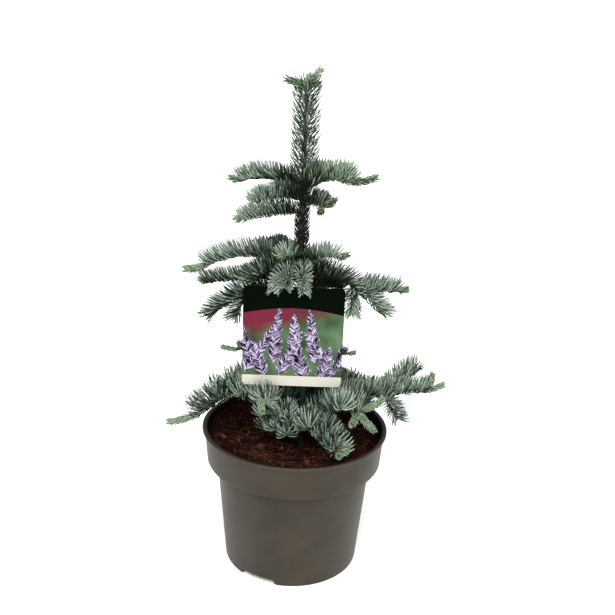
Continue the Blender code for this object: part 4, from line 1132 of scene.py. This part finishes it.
# %% Needles on old wood
OLD_RATE = 4500.0
NEEDLE_WIDTH = 0.0016
LENGTH_HEIGHTS, LENGTHS = (0.160, 0.330), (0.0250, 0.0170)
CROWN_HEIGHTS, CROWDING = (0.33, 0.37), (1.0, 1.3)
HIGH_HEIGHTS, HIGH_SHARES = (0.24, 0.30, 0.34, 0.37), (0.0, 0.5, 0.6, 1.0)
LOW_SIDE, TOP_LOW_SIDE = -32.0, -42.0
LEAN, LEAN_END, LEAN_DROOP = 18.0, 16.0, 22.0
LIFT, LIFT_DROOP, LIFT_HIGH = 0.95, 0.50, 0.15
FORWARD, FORWARD_END, FORWARD_DROOP, FORWARD_HIGH = 0.27, 0.15, 0.45, 0.16
OUTWARD = 0.42
SHADOW_START, SHADOW_CURVE = 0.010, 1.3
UNDER_RANGE, UNDER_DARK, BOUGH_DARK = 0.70, 0.40, 0.8
CHANCE_HEIGHTS, CHANCE = (0.20, 0.24), (0.44, 0.32)
CHANCE_AROUND, CHANCE_LEAN, CHANCE_END, CHANCE_FACING = 1.2, 1.5, 0.025, 0.22
needle_rng = np.random.default_rng(8)


def old_needles(shoot):
    """Needles of one old shoot, brushed up from its sides and top.

    Where the shoot droops, they lie more along it, and their brush is that of the shoot
    itself: its own upward normal, rather than the plumb line. High on the tree they stand
    further round the shoot and lie further forward.
    """
    rng = needle_rng
    first = 0.004 if shoot.root_radius > TWIG_ROOT_RADIUS * 0.9 else 0.001
    rate = OLD_RATE * np.interp(shoot.path[:, 2].mean(), CROWN_HEIGHTS, CROWDING)
    root, tangent, side, up_side, distance = needle_roots(shoot.path, rate, first, 0.0004)
    count = len(root)
    spin = (np.arange(count) * GOLDEN) % 1.0
    high = np.interp(root[:, 2], HIGH_HEIGHTS, HIGH_SHARES)
    low_side = LOW_SIDE + (TOP_LOW_SIDE - LOW_SIDE) * high
    around = np.radians(low_side + (180.0 - 2 * low_side) * spin
                        + rng.normal(0.0, CHANCE_AROUND, count))[:, None]
    share = distance[:, None] / (distance[-1] + 1e-9)
    droop = shoot.bough.hang * np.clip(-tangent[:, 2:] / 0.7, 0.0, 1.0)
    lean = np.radians(LEAN + LEAN_END * share ** 3 + LEAN_DROOP * droop
                      + rng.normal(0.0, CHANCE_LEAN, (count, 1)))
    out = side * np.cos(around) + up_side * np.sin(around)
    start = unit(out * np.cos(lean) + tangent * np.sin(lean))
    brush = unit((0.25 + droop) * up_side + np.array((0.0, 0.0, 0.75)))
    lift = LIFT - LIFT_DROOP * droop - LIFT_HIGH * high[:, None]
    forward = FORWARD + FORWARD_END * share ** 3 + FORWARD_DROOP * droop + FORWARD_HIGH * high[:, None]
    end = unit(OUTWARD * out + forward * tangent + lift * brush
               + rng.normal(0.0, CHANCE_END, (count, 3)))
    length = (np.interp(root[:, 2], LENGTH_HEIGHTS, LENGTHS) * shoot.bough.scale
              * (0.93 + 0.10 * np.sin(math.pi * share[:, 0])) * (1.0 - 0.16 * droop[:, 0])
              * rng.uniform(0.90, 1.05, count))
    turn = unit(tangent + rng.normal(0.0, CHANCE_FACING, (count, 3)))
    # Painted shade: darker near the trunk, on the shoot's underside and on shaded boughs; the chance term is
    # random tone.
    from_trunk = (np.hypot(root[:, 0], root[:, 1]) - SHADOW_START) / shoot.bough.deep
    shadow = np.clip(1.0 - from_trunk, 0.0, 1.0) ** SHADOW_CURVE
    above_low_side = np.sin(around[:, 0]) - np.sin(np.radians(low_side))
    under = np.clip(1.0 - above_low_side / UNDER_RANGE, 0.0, 1.0)
    chance = rng.normal(0.0, 1.0, count) * np.interp(root[:, 2], CHANCE_HEIGHTS, CHANCE)
    shade = shadow + UNDER_DARK * under + BOUGH_DARK * shoot.bough.shade + chance
    return Needles(root, start, end, length, NEEDLE_WIDTH * rng.uniform(0.88, 1.1, count), turn, shade)


old = grown(old_needles, [shoot for shoot in old_shoots if not shoot.bough.green])
green = grown(old_needles, [shoot for shoot in old_shoots if shoot.bough.green])
print("needles on old wood", len(old.root) + len(green.root))

# %% [markdown]
# Round the trunk and the leader the needles stand on all sides and point upwards.

# %% Needles on the trunk and leader
# Each stretch: foot, head, needle length, lean in degrees, needles per metre, shade.
TRUNK_STRETCHES = ((0.246, 0.300, 0.0100, 46.0, 3600.0, 1.0), (0.318, 0.398, 0.0090, 42.0, 5200.0, 0.88),
                   (0.398, 0.4865, 0.0195, 45.0, 3600.0, 0.54))
UPWARD = np.array((0.0, 0.0, 1.0))
BEND_BEFORE, BEND_AFTER = 0.30, 0.32


def trunk_needles(stretch):
    """Needles of one stretch of trunk: they lean out by an angle and bend upwards."""
    foot, head, long, angle, rate, shade = stretch
    rng = needle_rng
    count = int((head - foot) * rate)
    index = np.arange(count)
    height = foot + (head - foot) * (index + 0.5) / count
    out = heading(360.0 * ((index * GOLDEN) % 1.0) + rng.normal(0.0, 2.0, count), 0.0 * height)
    root = out * trunk_radius(height)[:, None] * 0.9
    root[:, 2] = height
    spread = np.radians(angle + rng.normal(0.0, 2.5, count))[:, None]
    start = unit(out * np.sin(spread + BEND_BEFORE) + UPWARD * np.cos(spread + BEND_BEFORE))
    end = unit(out * np.sin(spread - BEND_AFTER) + UPWARD * np.cos(spread - BEND_AFTER))
    length = long * rng.uniform(0.93, 1.04, count)
    turn = unit(UPWARD + rng.normal(0.0, 0.3, (count, 3)))
    return Needles(root, start, end, length, NEEDLE_WIDTH * 0.9 * np.ones(count), turn,
                   shade + rng.normal(0.0, 0.12, count))


around_trunk = grown(trunk_needles, TRUNK_STRETCHES)

# %% [markdown]
# A kind of needle is a tone. Each kind takes the needles whose shade lies below its
# limit and above the limit of the kind before, and becomes one piece, or more pieces
# where it has too many triangles for one.

# %% Tones
# The darker tones carry painted shade: needles get them by the shade worked out for each one.
TONES = (("needles_pale", 0.20, (179, 196, 178)), ("needles_mid", 0.48, (130, 150, 130)),
         ("needles_deep", 0.80, (72, 90, 74)), ("needles_dark", math.inf, (32, 41, 31)))
GREEN_TONES = (("needles_green", 0.30, (172, 194, 166)), ("needles_sage", 0.60, (120, 144, 114)),
               ("needles_olive", math.inf, (54, 66, 50)))
NEW_TONES = (("new_needles_bright", 0.5, (158, 178, 150)), ("new_needles_soft", 1.0, (124, 146, 116)),
             ("new_needles_deep", math.inf, (72, 94, 68)))
TRUNK_NODES = ("leader_needles", "trunk_needles_upper", "trunk_needles_lower")


def needle_material(name, colour):
    """A tone of needle: its colour wanders by a tenth up and a fifth down along the blades."""
    light = srgb(*(min(255.0, value * 1.10) for value in colour))
    dark = srgb(*(value * 0.80 for value in colour))
    return mottled_material(name, light, dark, 330.0, 2400.0, 0.55, 0.1, 0.0001, specular=0.2)


TRIANGLES_EACH = 28
PIECE_LIMIT = 190000 // TRIANGLES_EACH


def add_needles(needles, tones, slot, *nodes):
    """Pieces of needles, a kind for each tone, each piece below the limit of triangles."""
    low = -math.inf
    for name, high, colour in tones:
        inside = (needles.shade >= low) & (needles.shade < high)
        low = high
        material = needle_material(name, colour)
        parts = max(1, math.ceil(inside.sum() / PIECE_LIMIT))
        for i in range(parts):
            share = Needles(*(values[inside][i::parts] for values in needles))
            label = name if parts == 1 else f"{name}_{i + 1}"
            add_piece(label, mesh_from_faces(label, *blades(share)), material, slot, *nodes)


all_old = Needles(*(np.concatenate(values) for values in zip(old, around_trunk)))
add_needles(all_old, TONES, "needles", *MASS_NODES, *TRUNK_NODES)
add_needles(green, GREEN_TONES, "needles", *MASS_NODES)

# %% [markdown]
# This year's shoots are short and thick: their needles are small, soft and bright, and
# lie close along the shoot on all sides like the hairs of a brush. Their tones are
# drawn by chance, darker where a bough's `young` says so, and high on the tree paler on
# top of the shoot and darker beneath it, which is painted light and shade.

# %% Needles on new shoots
NEW_RATE, NEW_HEIGHTS, NEW_THINNING = 6200.0, (0.34, 0.37), (1.0, 0.60)
NEW_LENGTH, NEW_WIDTH = 0.0080, 0.0015
NEW_LEAN, NEW_LEAN_END, NEW_BEND = 58.0, 7.0, 0.35
END_ROOM = 0.0036
LOOSE_HEIGHTS = (0.20, 0.36)


def new_needles(shoot):
    """Needles of one new shoot, all round it: pressed close low on the tree, looser at its top."""
    rng = needle_rng
    rate = NEW_RATE * np.interp(shoot.path[:, 2].mean(), NEW_HEIGHTS, NEW_THINNING)
    end_room = min(END_ROOM, 0.3 * arc_lengths(shoot.path)[-1])
    root, tangent, side, up_side, distance = needle_roots(shoot.path, rate, 0.0012, end_room)
    count = len(root)
    loose = np.interp(root[:, 2], LOOSE_HEIGHTS, (0.0, 1.0))[:, None]
    around = (2 * math.pi * ((np.arange(count) * GOLDEN) % 1.0) + rng.normal(0.0, 0.15, count))[:, None]
    lean = np.radians(NEW_LEAN - 4.0 * loose + NEW_LEAN_END * (distance / distance[-1])[:, None] ** 2
                      + rng.normal(0.0, 5.0, (count, 1)))
    out = side * np.cos(around) + up_side * np.sin(around)
    start = unit(out * np.cos(lean - NEW_BEND) + tangent * np.sin(lean - NEW_BEND))
    end = unit(out * np.cos(lean + NEW_BEND) + tangent * np.sin(lean + NEW_BEND))
    size = (NEW_LENGTH - 0.0005 * loose[:, 0]) * rng.uniform(0.84, 1.06, count)
    length = size * (0.4 + 0.6 * shoot.bough.scale)
    turn = unit(tangent + rng.normal(0.0, 0.2, (count, 3)))
    width = NEW_WIDTH * rng.uniform(0.9, 1.1, count)
    # Painted light and shade: high on the tree a needle is paler on the shoot's top and darker on its
    # underside.
    shade = rng.uniform(0.0, 1.0, count) + shoot.bough.young - 0.25 * loose[:, 0] * out[:, 2]
    return Needles(root, start, end, length, width, turn, shade)


fresh = grown(new_needles, new_shoots)
print("needles on new shoots", len(fresh.root))
add_needles(fresh, NEW_TONES, "new_shoots", "leader_tip", *MASS_NODES)

# %% [markdown]
# ## Bud scales
#
# Each new shoot stands in a small cup of dry scales. They are lumps set in a ring.

# %% Bud scales
SCALES, SCALE_SIZE, CUP_RADIUS = 9, 0.0009, 0.0012
scale_rng = np.random.default_rng(77)
cups = []
turn = np.linspace(0.0, 2 * math.pi, SCALES, endpoint=False)[:, None]
for shoot in new_shoots:
    root, tangent, side, up_side, _ = needle_roots(shoot.path, 1000.0, 0.0, 0.0)
    ring = CUP_RADIUS * (side[0] * np.cos(turn) + up_side[0] * np.sin(turn))
    cups.append(root[0] + ring + tangent[0] * scale_rng.uniform(-0.0008, 0.0010, (SCALES, 1)))
centres = np.vstack(cups)
sizes = SCALE_SIZE * scale_rng.uniform(0.7, 1.3, (len(centres), 3))
points, faces = lumps(centres, sizes, 5, 6, scale_rng)
scale_material = mottled_material("bud_scales", srgb(160, 126, 84), srgb(110, 80, 52), 300.0, 2000.0,
                                  0.8, 0.3, specular=0.2)
add_piece("bud_scales", welded("bud_scales", points, faces), scale_material, "new_shoots",
          "leader_tip", *MASS_NODES)

# %% [markdown]
# ## Light and floor
#
# The light is that of a small studio: bright from all sides, with a broad sun from the
# front and above that gives the needles their pale edges, and a square lamp at the
# right that fills their shade.

# %% Floor and lights
FLOOR = 90.0
FLOOR_COLOUR = (0.97, 0.97, 0.96, 1.0)
WORLD_LIGHT = 0.51 * EXPOSURE
SUN_PLACE, SUN_SPREAD, SUN_POWER = (-0.15, -1.0, 1.3), math.radians(50.0), 2.9 * EXPOSURE
FILL_PLACE, FILL_SIZE, FILL_POWER = (1.3, -1.0, 0.9), 1.2, 6.0 * EXPOSURE
FILL_AIM = (0.0, 0.0, 0.25)

floor_mesh = bpy.data.meshes.new("floor")
corners = [(FLOOR * x, FLOOR * y, 0.0) for x, y in ((-1, -1), (1, -1), (1, 1), (-1, 1))]
floor_mesh.from_pydata(corners, [], [(0, 1, 2, 3)])
floor = bpy.data.objects.new("floor", floor_mesh)
floor_material, _, floor_shader = new_material("floor", 0.9, 0.5)
floor_shader.inputs["Base Color"].default_value = FLOOR_COLOUR
floor_mesh.materials.append(floor_material)
bpy.context.scene.collection.objects.link(floor)

world = bpy.data.worlds.new("studio")
world.use_nodes = True
nodes, links = world.node_tree.nodes, world.node_tree.links
sky = nodes["Background"]
sky.inputs["Color"].default_value = (1.0, 1.0, 1.0, 1.0)
seen, strength = nodes.new("ShaderNodeLightPath"), nodes.new("ShaderNodeMapRange")
strength.inputs["To Min"].default_value = WORLD_LIGHT
links.new(seen.outputs["Is Camera Ray"], strength.inputs["Value"])
links.new(strength.outputs["Result"], sky.inputs["Strength"])
bpy.context.scene.world = world
bpy.context.scene.view_settings.view_transform = "Standard"


def add_light(name, kind, place, aim, power, **shape):
    """A lamp at a place, with its back turned away from the point it looks at."""
    data = bpy.data.lights.new(name, kind)
    data.energy = power
    for setting, value in shape.items():
        setattr(data, setting, value)
    back = unit(np.subtract(place, aim))
    across = unit(np.cross((0.0, 0.0, 1.0), back))
    put(name, data, (across, np.cross(back, across), back), place)


add_light("sun", "SUN", SUN_PLACE, (0.0, 0.0, 0.0), SUN_POWER, angle=SUN_SPREAD)
add_light("fill", "AREA", FILL_PLACE, FILL_AIM, FILL_POWER, size=FILL_SIZE)
